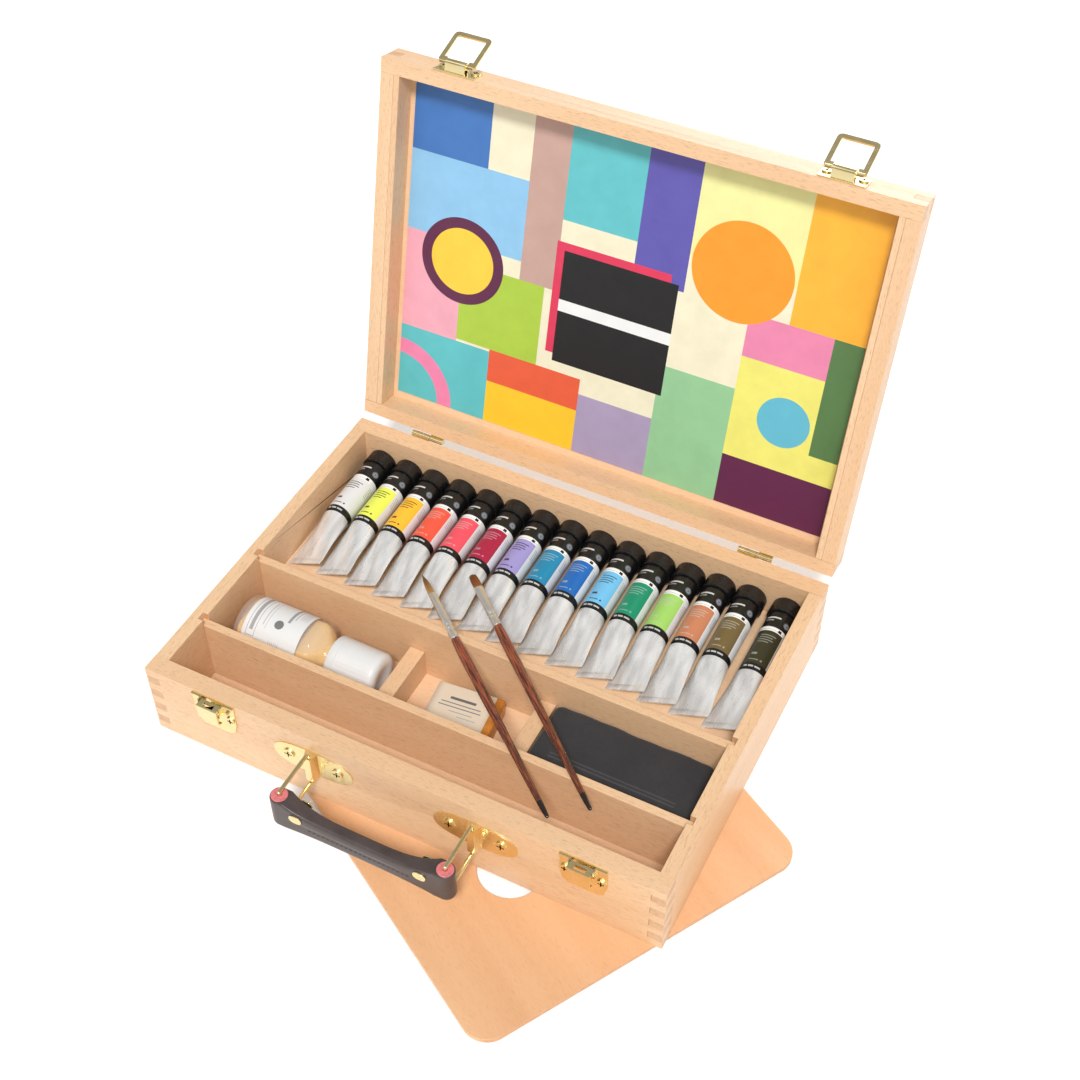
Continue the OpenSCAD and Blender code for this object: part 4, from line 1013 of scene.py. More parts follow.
@dataclass(frozen=True)
class CardFinish(Finish):
    """Printed card: flat blocks, discs and rings of colour round a dark panel.

    The print reads millimetres on the card, from its lower left as the open lid shows it.
    """

    def material(self) -> bpy.types.Material:
        """Makes the material.

        Returns:
            The finished card.
        """
        mat, g, shader = self.start()
        uv = g.print_place()
        brushed = g.noise(g.mapping(g.place(), (60.0, 25.0, 60.0)), 1.0, 4.0, 0.6)
        colour = linear(self.colour)
        blocks = [
            (0, 74, 0, 58, (0.36, 0.75, 0.77)),
            (74, 148, 0, 34, (0.98, 0.78, 0.16)),
            (74, 148, 34, 60, (0.90, 0.36, 0.22)),
            (0, 46, 58, 136, (0.93, 0.66, 0.72)),
            (46, 112, 60, 122, (0.67, 0.79, 0.25)),
            (0, 92, 136, 196, (0.55, 0.76, 0.90)),
            (0, 60, 196, 244, (0.24, 0.45, 0.72)),
            (92, 120, 122, 244, (0.76, 0.62, 0.57)),
            (148, 206, 0, 48, (0.66, 0.60, 0.72)),
            (206, 262, 0, 92, (0.58, 0.78, 0.58)),
            (262, 343, 0, 40, (0.37, 0.10, 0.27)),
            (262, 343, 40, 118, (0.93, 0.90, 0.45)),
            (120, 176, 176, 244, (0.37, 0.74, 0.76)),
            (176, 214, 150, 244, (0.36, 0.33, 0.66)),
            (214, 290, 176, 244, (0.92, 0.91, 0.62)),
            (290, 343, 150, 244, (0.97, 0.70, 0.20)),
            (322, 343, 60, 150, (0.33, 0.48, 0.27)),
            (262, 322, 118, 150, (0.90, 0.52, 0.66)),
        ]
        for *box, tint in blocks:
            colour = g.mix(g.block(uv, box), colour, linear(tint))
        rounds = [
            (252, 176, -1, 36, (0.95, 0.60, 0.14)),
            (46, 122, -1, 25, (0.97, 0.80, 0.24)),
            (46, 122, 25, 33, (0.36, 0.10, 0.26)),
            (0, 0, 34, 46, (0.93, 0.52, 0.68)),
            (300, 78, -1, 19, (0.38, 0.72, 0.80)),
        ]
        for *ring, tint in rounds:
            colour = g.mix(g.disc(uv, ring), colour, linear(tint))
        panel = [
            (118, 204, 74, 160, (0.86, 0.20, 0.34)),
            (124, 210, 68, 154, (0.05, 0.05, 0.06)),
            (124, 210, 108, 117, (0.93, 0.93, 0.92)),
        ]
        for *box, tint in panel:
            colour = g.mix(g.block(uv, box), colour, linear(tint))
        shade = g.mix(1.0, colour, (0.86, 0.86, 0.86, 1.0), "MULTIPLY")
        soft = g.mix(g.span(brushed, 0.3, 0.7, 0.35, 1.0), colour, shade)
        g.feed(shader.inputs["Base Color"], soft)
        g.feed(shader.inputs["Roughness"], g.span(brushed, 0.3, 0.7, 0.42, 0.55))
        g.feed(shader.inputs["Normal"], g.bump(brushed, 0.08, 0.0002))
        return mat


@dataclass(frozen=True)
class LabelFinish(Finish):
    """Paper label with grey bars, and a dot where its radius is above 0, in millimetres on the print."""

    bars: Tuple[Tuple[float, float, float, float, float], ...] = ()
    dot: Tuple[float, float, float] = (0.0, 0.0, 0.0)
    fibre_tint: Rgb = (0.78, 0.78, 0.76)
    dot_ink: Rgb = (0.45, 0.45, 0.45)

    def material(self) -> bpy.types.Material:
        """Makes the material.

        Returns:
            The finished label.
        """
        mat, g, shader = self.start()
        uv = g.print_place()
        fibre = g.noise(g.place(), 900.0, 3.0)
        colour = g.mix(g.span(fibre, 0.3, 0.7, 0.0, 0.12), linear(self.colour), linear(self.fibre_tint))
        for *box, grey in self.bars:
            colour = g.mix(g.block(uv, box), colour, linear((grey, grey, grey)))
        x, y, radius = self.dot
        if radius > 0:
            colour = g.mix(g.disc(uv, (x, y, -1.0, radius)), colour, linear(self.dot_ink))
        g.feed(shader.inputs["Base Color"], colour)
        g.feed(shader.inputs["Roughness"], g.span(fibre, 0.3, 0.7, 0.45, 0.6))
        g.feed(shader.inputs["Normal"], g.bump(fibre, 0.1, 0.0001))
        return mat


@dataclass(frozen=True)
class HairFinish(Finish):
    """Brush hair: the root's colour at the ferrule, the ground colour towards the tip, read along v."""

    root: Rgb = (0.75, 0.55, 0.3)
    length: float = 21.0

    def material(self) -> bpy.types.Material:
        """Makes the material.

        Returns:
            The finished hair.
        """
        mat, g, shader = self.start()
        uv = g.node("SeparateXYZ")
        g.feed(uv.inputs[0], g.print_place())
        along = g.span(uv.outputs[1], 0.0, self.length)
        strand = g.noise(uv.outputs[0], 60.0, 2.0)
        share = g.times(along, g.span(strand, 0.3, 0.7, 0.7, 1.1))
        g.feed(shader.inputs["Base Color"], g.mix(share, linear(self.root), linear(self.colour)))
        g.feed(shader.inputs["Roughness"], g.span(strand, 0.3, 0.7, 0.4, 0.6))
        return mat


@dataclass(frozen=True)
class LacquerFinish(Finish):
    """Glossy red-brown lacquer with darker grain along the handle, read along v, and a dark end."""

    dark: Rgb = (0.2, 0.06, 0.04)
    start_at: float = 65.0
    end_at: float = 221.0
    dipped: float = 13.0

    def material(self) -> bpy.types.Material:
        """Makes the material.

        Returns:
            The finished lacquer.
        """
        mat, g, shader = self.start()
        uv = g.print_place()
        split = g.node("SeparateXYZ")
        g.feed(split.inputs[0], uv)
        grain = g.noise(g.mapping(uv, (2.6, 0.055, 1.0)), 1.0, 4.0, 0.65)
        shade = g.span(split.outputs[1], self.start_at, self.end_at, 0.0, 0.45)
        tip = g.math("GREATER_THAN", split.outputs[1], self.end_at - self.dipped)
        share = g.math("ADD", g.span(grain, 0.40, 0.60, 0.0, 0.9), shade, clamp=True)
        body = g.mix(share, linear(self.colour), linear(self.dark))
        g.feed(shader.inputs["Base Color"], g.mix(tip, body, linear((0.07, 0.04, 0.04))))
        g.feed(shader.inputs["Roughness"], g.span(grain, 0.3, 0.7, 0.12, 0.2))
        shader.inputs["Coat Weight"].default_value = 0.6
        shader.inputs["Coat Roughness"].default_value = 0.05
        return mat


# The case


BEECH_PALE: Rgb = (0.905, 0.765, 0.61)
BEECH_DEEP: Rgb = (0.855, 0.685, 0.52)
PLY_PALE: Rgb = (0.93, 0.795, 0.65)
PLY_DEEP: Rgb = (0.89, 0.73, 0.575)


def beech(name: str, run: Run, seed: float) -> WoodFinish:
    """Returns the clear-coated beech finish with its grain along one run."""
    return WoodFinish(name, BEECH_PALE, BEECH_DEEP, run=run, flecks=0.6, seed=seed)


@dataclass
class WoodParts:
    """The case's boards, each with its own grain run and rounded edges."""

    edge: float = 0.5
    sheet_edge: float = 0.25
    boards: Dict[str, Tuple[Run, float]] = field(
        default_factory=lambda: {
            "base_front": (Run.ACROSS, 0.31),
            "base_back": (Run.ACROSS, 1.27),
            "base_left": (Run.BACK, 2.11),
            "base_right": (Run.BACK, 3.37),
            "divider_rear": (Run.ACROSS, 4.21),
            "divider_front": (Run.ACROSS, 5.43),
            "cross_dividers": (Run.BACK, 6.17),
            "lid_front": (Run.ACROSS, 7.71),
            "lid_back": (Run.ACROSS, 8.39),
            "lid_left": (Run.LID_BACK, 9.13),
            "lid_right": (Run.LID_BACK, 10.57),
            "lid_strips": (Run.LID_BACK, 11.91),
        }
    )
    sheets: Dict[str, float] = field(
        default_factory=lambda: {"base_floor": 12.3, "tube_floor": 13.9, "lid_panel": 14.2}
    )

    def build(self) -> List[bpy.types.Object]:
        """Recuts every board with rounded edges.

        Returns:
            The finished boards.
        """
        made = []
        for node, (run, seed) in self.boards.items():
            board = recut(node, self.edge)
            dress(board, beech("beech_" + node, run, seed).material())
            made.append(board)
            LOG.info("board %s", board.name)
        for node, seed in self.sheets.items():
            board = recut(node, self.sheet_edge)
            ply = WoodFinish("ply_" + node, PLY_PALE, PLY_DEEP, flecks=0.3, bump=0.08, seed=seed)
            dress(board, ply.material())
            made.append(board)
            LOG.info("sheet %s", board.name)
        return made


@dataclass
class PaletteBoard:
    """The thin mixing board under the case."""

    edge: float = 0.35
    pale: Rgb = (0.905, 0.72, 0.55)
    deep: Rgb = (0.85, 0.635, 0.455)

    def build(self) -> bpy.types.Object:
        """Recuts the board and gives it a warm ply finish.

        Returns:
            The finished board.
        """
        board = recut("palette", self.edge)
        finish = WoodFinish(
            "palette_ply", self.pale, self.deep, run=Run.PALETTE, flecks=0.3, bump=0.06, seed=15.3
        )
        dress(board, finish.material())
        LOG.info("palette %s", board.name)
        return board


@dataclass
class Hardware:
    """Every brass or steel part, recut with small rounded edges."""

    brass: Dict[str, float] = field(
        default_factory=lambda: {
            "hinge_base_leaves": 0.2,
            "hinge_lid_leaves": 0.2,
            "catch_plates": 0.3,
            "lever_left": 0.3,
            "lever_right": 0.3,
            "lid_catch_brackets": 0.3,
            "ring_left": 0.35,
            "ring_right": 0.35,
            "handle_brackets": 0.35,
            "base_screws": 0.15,
            "lid_screws": 0.15,
            "grip_rivets": 0.3,
        }
    )
    wires: Dict[str, float] = field(
        default_factory=lambda: {"bail_left": 0.1, "bail_right": 0.1, "pins": 0.1}
    )
    catch_screws: Tuple[Pair, float, float] = ((-12.4, 12.4), 50.5, 2.35)
    handle_screws: Tuple[Pair, float, float] = ((-18.5, 18.5), 42.5, 2.95)
    lid_screws: Tuple[Pair, float, float] = ((-12.0, 12.0), 77.4, 2.35)
    handle_x: float = 60.0
    slot_span: Pair = (-140.55, -139.6)

    def build(self) -> List[bpy.types.Object]:
        """Recuts and dresses every metal part.

        Returns:
            The finished parts.
        """
        brass = MetalFinish("pale_brass", (0.93, 0.85, 0.62), low=0.17, high=0.3, worn=(0.97, 0.92, 0.76))
        drawn = MetalFinish("brass_wire", (0.90, 0.84, 0.64), low=0.1, high=0.2, worn=(0.96, 0.92, 0.78))
        # Painted shade: a dark metal for the screw slots, standing in for the shade in their recesses.
        shade = MetalFinish("slot_painted_shade", (0.17, 0.13, 0.08), low=0.5, high=0.7, worn=(0.12, 0.09, 0.05))
        made = []
        for nodes, mat in ((self.brass, brass.material()), (self.wires, drawn.material())):
            for node, width in nodes.items():
                part = dress(recut(node, width, 2, 30.0), mat)
                made.append(part)
                LOG.info("metal %s", part.name)
        dark = shade.material()
        # The screws' slots get the painted shade.
        for part in made:
            if part.name == "piece_base_screws":
                self.paint_slot_shade(part, dark, None)
            if part.name == "piece_lid_screws":
                self.paint_slot_shade(part, dark, lid_matrix().inverted())
        return made

    def paint_slot_shade(self, part: bpy.types.Object, dark: bpy.types.Material, back: Optional[Matrix]) -> None:
        """Paints shade into the screw slots: the faces inside them get a dark finish that stands in for the
        shade in the recesses.

        A face is in a slot if its middle lies in the slots' span of Y and within a head's radius of its axis.

        Args:
            part: The screws.
            dark: The dark finish that paints the slots' shade.
            back: Carries the screws to where their axes run along Y, or None.
        """
        mesh = part.data
        mesh.materials.append(dark)
        centres = np.zeros(len(mesh.polygons) * 3)
        mesh.polygons.foreach_get("center", centres)
        c = carried(centres.reshape(-1, 3) / MM, back)
        axes = []
        for x, (offs, z, radius) in (
            (CATCH_X, self.catch_screws),
            (self.handle_x, self.handle_screws),
            (CATCH_X, self.lid_screws),
        ):
            axes += [(side * x + off, z, radius) for side in (-1, 1) for off in offs]
        a = np.array(axes)
        away = np.hypot(c[:, None, 0] - a[None, :, 0], c[:, None, 2] - a[None, :, 1])
        deep = (c[:, 1] > self.slot_span[0]) & (c[:, 1] < self.slot_span[1])
        inside = deep & (away < a[None, :, 2]).any(1)
        mesh.polygons.foreach_set("material_index", inside.astype(np.int32))
        mesh.update()


@dataclass
class Grip:
    """The leather grip with its seam and its salmon cores: straight front, hollow back, dipped top."""

    centre_y: float = -176.5
    centre_z: float = 42.5
    height: float = 26.0
    half_length: float = 60.0
    thickness: float = 13.0
    hollow: float = 3.5
    sag: float = 7.0
    crease: float = -0.6
    seam: float = -4.6
    pitch: float = 3.4
    sewn_half: float = 36.0
    stitch_half: float = 1.15
    thread_r: float = 0.36

    def dip(self, x: np.ndarray) -> np.ndarray:
        """Share of the dip at x: 1 - (|x| / 0.9 half length)^4, none at the ends."""
        return np.clip(1 - (np.abs(x) / (0.9 * self.half_length)) ** 4, 0, None)

    def side(self, x: np.ndarray, z: np.ndarray, front: np.ndarray) -> np.ndarray:
        """Depth of a face from the spine: (1 - |w|^m)^(1/m) of the half thickness, m less in the middle.

        Args:
            x: Places along the grip.
            z: Heights above the grip's middle.
            front: 1 where the face is the front one, else 0.

        Returns:
            The distance from the spine, in millimetres.
        """
        d = self.dip(x)
        top = self.height / 2 - self.sag * d
        mid, half = (top - self.height / 2) / 2, (top + self.height / 2) / 2
        w = np.clip(np.abs(z - mid) / half, 0, 1)
        m = 14 - 9.5 * d
        share = (1 - w**m) ** (1 / m)
        flange = 1 - 0.16 * d * np.clip((self.crease - z) / 1.6, 0, 1)
        groove = 1 - 0.07 * d * front * np.exp(-(((z - self.crease) / 0.55) ** 2))
        thick = (self.thickness - self.hollow * d) / 2
        return thick * share * flange * groove

    def leather(self) -> bpy.types.Object:
        """Wraps level loops round the spine: p = spine + side normal, from the bottom edge to the top edge.

        Returns:
            The leather.
        """
        n, k = 121, 16
        x = np.linspace(-self.half_length, self.half_length, n)
        arc = np.linspace(np.pi / 2, -np.pi / 2, k + 2)[1:-1]
        loop_x = np.concatenate([x, np.full(k, self.half_length), x[::-1], np.full(k, -self.half_length)])
        angle = np.concatenate([np.full(n, np.pi / 2), arc, np.full(n, -np.pi / 2), arc - np.pi])
        front = (np.sin(angle) < 0).astype(float)
        w = np.sin(np.linspace(-np.pi / 2, np.pi / 2, 57))[:, None]
        d = self.dip(loop_x)[None, :]
        mid, half = -self.sag * d / 2, (self.height - self.sag * d) / 2
        z = mid + w * half
        away = self.side(loop_x[None, :] + 0 * w, z, front[None, :] + 0 * w)
        spine = -self.hollow * d / 2
        px = loop_x[None, :] + away * np.cos(angle)[None, :]
        py = self.centre_y + spine + away * np.sin(angle)[None, :]
        sunk = np.clip((w - 0.7) / 0.3, 0, 1) * 0.35
        pts = np.stack([px, py, self.centre_z + z - sunk], -1).reshape(-1, 3)
        obj = shell("grip_leather", pts, quads(57, len(loop_x), True))
        weld(obj, 4e-6)
        return obj

    def stitches(self) -> bpy.types.Object:
        """Short thread bars in a front and a back row: x steps by the pitch, y follows the face.

        Returns:
            The stitches as one piece.
        """
        x = np.arange(-self.sewn_half, self.sewn_half + 0.1, self.pitch)
        ring = np.linspace(0, 2 * np.pi, 8, endpoint=False)
        t = np.linspace(-1, 1, 9)
        girth = self.thread_r * np.sqrt(np.clip(1 - t**4, 0.0, None))
        pts, faces = [], []
        cell = quads(len(t), len(ring), True)
        step = len(t) * len(ring)
        for row, side in enumerate((-1, 1)):
            px = x[:, None, None] + self.stitch_half * t[None, :, None] + 0 * ring[None, None, :]
            off = girth[None, :, None] * np.cos(ring)[None, None, :]
            pz = self.seam + girth[None, :, None] * np.sin(ring)[None, None, :] + 0 * px
            face = self.side(px, 0 * px + self.seam, np.full_like(px, 1.0 if side < 0 else 0.0))
            py = self.centre_y - self.hollow * self.dip(px) / 2 + side * (face + 0.04 + 0.5 * off)
            pts.append(np.stack([px, py, self.centre_z + pz], -1).reshape(-1, 3))
            faces.append(repeated(cell, len(x), step) + row * len(x) * step)
        obj = shell("grip_stitches", np.concatenate(pts), np.concatenate(faces))
        weld(obj)
        return obj

    def build(self) -> List[bpy.types.Object]:
        """Builds the leather, the seam and the cores.

        Returns:
            The finished pieces.
        """
        hide = LeatherFinish("dark_leather", (0.255, 0.215, 0.205), rub=(0.36, 0.31, 0.30))
        thread = MouldedFinish(
            "seam_thread", (0.13, 0.11, 0.105), other=(0.2, 0.17, 0.16), low=0.6, high=0.75, scale=900.0
        )
        body = dress(self.leather(), hide.material())
        seam = dress(self.stitches(), thread.material())
        for part in (body, seam):
            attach(part, body_of(frame["nodes"]["grip"])[0])
        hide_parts("grip")
        dye = MouldedFinish(
            "salmon_core",
            (0.88, 0.50, 0.50),
            other=(0.66, 0.30, 0.31),
            low=0.5,
            high=0.65,
            scale=420.0,
            share=0.6,
        )
        cores = dress(recut("grip_cores", 0.4), dye.material())
        for part in (body, seam, cores):
            LOG.info("grip %s", part.name)
        return [body, seam, cores]


# The paints


class Hue(Enum):
    """Paint colours from left to right."""

    WHITE = (0.86, 0.86, 0.86)
    LEMON = (0.90, 0.93, 0.36)
    GOLD = (0.98, 0.74, 0.20)
    VERMILION = (0.93, 0.34, 0.25)
    CORAL = (0.92, 0.32, 0.38)
    CRIMSON = (0.66, 0.10, 0.25)
    LAVENDER = (0.62, 0.58, 0.80)
    LAGOON = (0.10, 0.52, 0.68)
    COBALT = (0.09, 0.40, 0.71)
    SKY = (0.44, 0.74, 0.91)
    EMERALD = (0.05, 0.55, 0.41)
    APPLE = (0.62, 0.82, 0.40)
    SIENNA = (0.78, 0.50, 0.36)
    OLIVE = (0.44, 0.37, 0.22)
    MOSS = (0.20, 0.20, 0.12)


@dataclass
class PaintTube:
    """One metal paint tube: round by the cap, flattened and folded at the tail."""

    index: int
    hue: Hue
    radius: float = 10.25
    top_y: float = 112.7
    tail_y: float = 59.2
    fold_y: float = 15.2
    end_y: float = 10.2
    board_top: float = 31.5
    turn: float = math.radians(25.0)
    sides: int = 72
    axis_up: float = 11.6
    first_x: float = -164.0
    last_x: float = 167.4
    pitch: float = 23.4
    fold_half_w: float = 16.0
    fold_half_t: float = 0.8
    case_side: float = 179.7
    side_gap: float = 0.6

    @property
    def x(self) -> float:
        """Centre of the tube in the row, whose last tube stands apart."""
        return self.last_x if self.index == len(Hue) else self.first_x + self.pitch * (self.index - 1)

    @property
    def lean(self) -> float:
        """Sideways lean of the fold, which keeps the last tube's clear of the case's side."""
        reach = math.hypot(self.fold_half_w * math.cos(self.turn), self.fold_half_t * math.sin(self.turn))
        return min(0.0, self.case_side - self.side_gap - self.x - reach)

    @property
    def fold_up(self) -> float:
        """Height of the fold's middle above the board, where its lower edge rests."""
        return math.hypot(self.fold_half_w * math.sin(self.turn), self.fold_half_t * math.cos(self.turn))

    def body(self) -> bpy.types.Object:
        """Lofts the tube from its shoulder to its folded tail.

        Ring at y: a circle of the tube's radius as far as the tail, then an ellipse whose half
        axes run straight to the fold's. Pressed dents d sin(n t + c y) come and go over the tail.

        Returns:
            The tube, with u round it from the top and v along it from the cap, in millimetres.
        """
        rng = np.random.default_rng(40 + self.index)
        head = self.top_y - np.array([0.0, 0.25, 0.9])
        barrel = np.linspace(self.top_y - 3, self.tail_y, 12)
        tail = np.linspace(self.tail_y - 2, self.fold_y, 30)
        fold = self.fold_y - np.array([0.05, 0.6, 2.6])
        y = np.concatenate([head, barrel, tail, fold, [self.end_y + 0.3, self.end_y]])
        t = np.clip((self.tail_y - y) / (self.tail_y - self.fold_y), 0, 1)
        a = self.radius * (1 - t) + (self.fold_half_w - 0.1) * t
        b = self.radius * (1 - t) + 0.45 * t
        a[:2] -= np.array([1.6, 0.5])
        b[:2] -= np.array([1.6, 0.5])
        b[-4:] = [0.75, 0.78, 0.76, 0.5]
        lean = self.lean * t
        zc = self.board_top + self.axis_up + t * (self.fold_up - self.axis_up)
        k = np.linspace(-np.pi / 2, 1.5 * np.pi, self.sides + 1)
        th = k[None, :] - self.turn
        phase = rng.uniform(0, 6.28, 4)
        dent = -0.45
        for start, (depth, folds, drift) in zip(phase, ((0.22, 3, 0.09), (0.14, 5, -0.15), (0.10, 9, 0.05))):
            dent = dent + depth * np.sin(folds * th + start + drift * y[:, None])
        wide = np.clip(t * 4, 0, 1) * np.clip((1 - t) * 3.5, 0, 1)
        dent = dent * wide[:, None]
        ca = (a[:, None] + 0.5 * dent) * np.cos(th)
        cb = (b[:, None] + dent * np.clip(b[:, None] / 6, 0, 1)) * np.sin(th)
        px = self.x + lean[:, None] + ca * math.cos(self.turn) - cb * math.sin(self.turn)
        pz = zc[:, None] + ca * math.sin(self.turn) + cb * math.cos(self.turn)
        pts = np.stack([px, y[:, None] + 0 * px, pz], -1).reshape(-1, 3)
        around = self.radius * (np.pi / 2 - k)[None, :] + 0 * px
        uv = np.stack([around, self.top_y - y[:, None] + 0 * px], -1).reshape(-1, 2)
        cols = self.sides + 1
        faces = quads(len(y), cols, False).tolist()
        faces += [list(range(cols)), list(range((len(y) - 1) * cols, len(y) * cols))[::-1]]
        obj = shell("tube_%02d_body" % self.index, pts, faces, uv)
        weld(obj, 2e-5)
        sharpen(obj, 50.0)
        return obj

    def build(self) -> bpy.types.Object:
        """Builds the tube and dresses it in its colour.

        Returns:
            The finished tube.
        """
        obj = dress(self.body(), TubeFinish("tube_print_%02d" % self.index, self.hue.value).material())
        node = "tube_%02d" % self.index
        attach(obj, body_of(frame["nodes"][node])[0])
        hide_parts(node)
        LOG.info("tube %s in %s", obj.name, self.hue.name)
        return obj


@dataclass
class TubeCaps:
    """The ribbed black caps of all the tubes as one piece."""

    tubes: Sequence[PaintTube]
    radius: float = 11.55
    length: float = 13.0
    sides: int = 144
    ribs: int = 48
    rib_depth: float = 0.22

    def build(self) -> bpy.types.Object:
        """Lathes one cap, r(s, a) = r(s) - d (1 - cos n a) / 2 on its ribbed skirt, and repeats it.

        Returns:
            The finished caps.
        """
        r, n = self.radius, self.length
        profile = [(0, 0), (0, r - 1.6), (0.25, r - 0.5), (0.7, r), (2.0, r), (2.2, r - 0.25)]
        profile += [(2.45, r - 0.05)]
        profile += [(s, r - 0.05 - 0.02 * (s - 2.5)) for s in np.linspace(3.0, n - 1.0, 6)]
        profile += [(n - 0.5, r - 0.55), (n - 0.15, r - 1.2), (n, r - 2.2), (n, 5.0)]
        profile += [(n - 0.5, 4.6), (n - 0.5, 0)]
        prof = np.array(profile)
        s = prof[:, 0][:, None]
        a = np.linspace(0, 2 * np.pi, self.sides, endpoint=False)[None, :]
        skirt = ((s > 2.4) & (s < n - 0.9)).astype(float)
        rad = prof[:, 1][:, None] - self.rib_depth * skirt * (0.5 - 0.5 * np.cos(self.ribs * a))
        one = np.stack([rad * np.cos(a), s + 0 * a, rad * np.sin(a)], -1).reshape(-1, 3)
        centres = np.array([[t.x, t.top_y, t.board_top + t.axis_up] for t in self.tubes])
        pts = (one[None] + centres[:, None]).reshape(-1, 3)
        cell = quads(len(prof), self.sides, True)
        obj = shell("tube_caps_ribbed", pts, repeated(cell, len(centres), len(one)))
        weld(obj)
        sharpen(obj, 40.0)
        black = MouldedFinish(
            "black_plastic", (0.055, 0.055, 0.06), other=(0.11, 0.11, 0.12), low=0.22, high=0.36, scale=160.0
        )
        dress(obj, black.material())
        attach(obj, body_of(frame["nodes"]["tube_caps"])[0])
        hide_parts("tube_caps")
        LOG.info("caps for %d tubes", len(self.tubes))
        return obj


# Loose items


@dataclass
class Bottle:
    """Lying glass bottle of amber medium with a paper label and a fluted white cap."""

    x: float = -172.0
    y: float = -51.0
    z: float = FLOOR_Z + 22.0
    r: float = 22.0
    level: float = 13.5
    cap_x: float = -99.0
    cap_r: float = 17.5
    flutes: int = 40
    flute_depth: float = 0.10
    label_span: Pair = (8.0, 52.0)
    label_arc: Pair = (-84.0, 72.0)

    def axis(self, x: float) -> Matrix:
        """Returns the matrix that lays a lathe shape along +X from x, with its angle 0 pointing down."""
        return Matrix.Translation((x, self.y, self.z)) @ Matrix.Rotation(math.pi / 2, 4, "Y")

    def glass(self) -> bpy.types.Object:
        """Lathes the glass wall, outside then inside.

        Returns:
            The glass.
        """
        r = self.r
        out = [(0.6, 0), (0.6, r - 6), (0.15, r - 4), (0.2, r - 2.4), (0.9, r - 0.9), (2.4, r - 0.1), (4, r)]
        out += [(s, r) for s in np.linspace(10, 57, 6)]
        out += [(60, r - 0.3), (62.5, r - 1.6), (65, r - 4.2), (67, r - 7.2), (68.4, r - 9.0), (70, 12.5)]
        out += [(71.5, 12.5), (88.4, 12.5), (89, 12.2)]
        inner = [(89, 11.1), (70.5, 10.9), (68, r - 10.4), (65.5, r - 7.2), (62.5, r - 4.2), (59.5, r - 2.2)]
        inner += [(57, r - 1.6), (10, r - 1.6), (4.4, r - 1.8), (2.9, r - 3.0), (2.3, r - 5), (2.3, 0)]
        obj = turned("bottle_glass_wall", out + inner, 96, self.axis(self.x))
        finish = GlassFinish(
            "clear_glass", (0.97, 0.97, 0.96), ior=1.5, depth=(0.95, 0.95, 0.93), clear=0.0, cover=0.13
        )
        return dress(obj, finish.material())

    def medium(self) -> bpy.types.Object:
        """Lathes the liquid inside the wall and levels it: z' = min(z, axis + level).

        Returns:
            The liquid.
        """
        r = self.r - 1.5
        prof = [(2.2, 0), (2.2, r - 3.4), (2.9, r - 1.4), (4.4, r - 0.25), (10, r)]
        prof += [(s, r) for s in np.linspace(14, 57, 12)]
        prof += [(59.5, r - 0.6), (62.5, r - 2.6), (65.5, r - 5.6), (68, r - 8.8)]
        prof += [(70.5, 11.0), (74.5, 11.0), (74.5, 0)]
        obj = turned("bottle_medium", prof, 96, self.axis(self.x))
        co = np.zeros(len(obj.data.vertices) * 3)
        obj.data.vertices.foreach_get("co", co)
        co = co.reshape(-1, 3)
        co[:, 2] = np.minimum(co[:, 2], (self.z + self.level) * MM)
        obj.data.vertices.foreach_set("co", co.ravel())
        obj.data.update()
        finish = GlassFinish(
            "amber_medium", (1.0, 0.82, 0.50), rough=0.12, ior=1.33, depth=(0.98, 0.71, 0.34), clear=0.25
        )
        return dress(obj, finish.material())

    def label(self) -> bpy.types.Object:
        """Bends a square-cornered paper label round the glass: p = (x, r sin a, r cos a).

        Returns:
            The label, with u along the bottle and v round it in millimetres.
        """
        a = np.radians(np.linspace(*self.label_arc, 61))
        s = np.linspace(*self.label_span, 12)
        outer, inner = self.r + 0.16, self.r + 0.03
        ss, aa = np.meshgrid(s, a, indexing="ij")
        grids = []
        for rad in (outer, inner):
            bent = [self.x + ss, self.y + rad * np.sin(aa), self.z + rad * np.cos(aa)]
            grids.append(np.stack(bent, -1).reshape(-1, 3))
        uv = np.stack([ss, self.r * aa], -1).reshape(-1, 2)
        rows, cols = len(s), len(a)
        face = quads(rows, cols, False)
        under = face[:, ::-1] + rows * cols
        number = np.arange(rows * cols).reshape(rows, cols)
        edge = np.concatenate([number[0, :-1], number[:-1, -1], number[-1, :0:-1], number[:0:-1, 0]])
        nxt = np.roll(edge, -1)
        wall = np.stack([edge, nxt, nxt + rows * cols, edge + rows * cols], -1)
        faces = np.concatenate([face, under, wall])
        obj = shell("bottle_label", np.concatenate(grids), faces, np.concatenate([uv, uv]))
        weld(obj)
        sharpen(obj, 40.0)
        bars: List[Tuple[float, float, float, float, float]] = [
            (11.0, 11.35, -20, 22, 0.55),
            (17.6, 17.95, -20, 22, 0.55),
            (11.0, 17.95, -20.35, -20, 0.55),
            (11.0, 17.95, 22, 22.35, 0.55),
            (13.2, 15.9, -16, 18, 0.62),
            (21.5, 22.2, -10, 12, 0.7),
            (24.0, 24.5, -12, 14, 0.74),
            (37.5, 39.6, -2, 20, 0.60),
            (41.0, 42.0, 2, 20, 0.72),
        ]
        bars += [(44.0 + 1.6 * k, 44.6 + 1.6 * k, 4, 18, 0.75) for k in range(4)]
        bars += [(30.0 + 1.5 * k, 30.5 + 1.5 * k, -29, -19, 0.74) for k in range(6)]
        finish = LabelFinish("bottle_paper", (0.87, 0.87, 0.865), bars=tuple(bars), dot=(33.0, -6.0, 3.4))
        return dress(obj, finish.material())

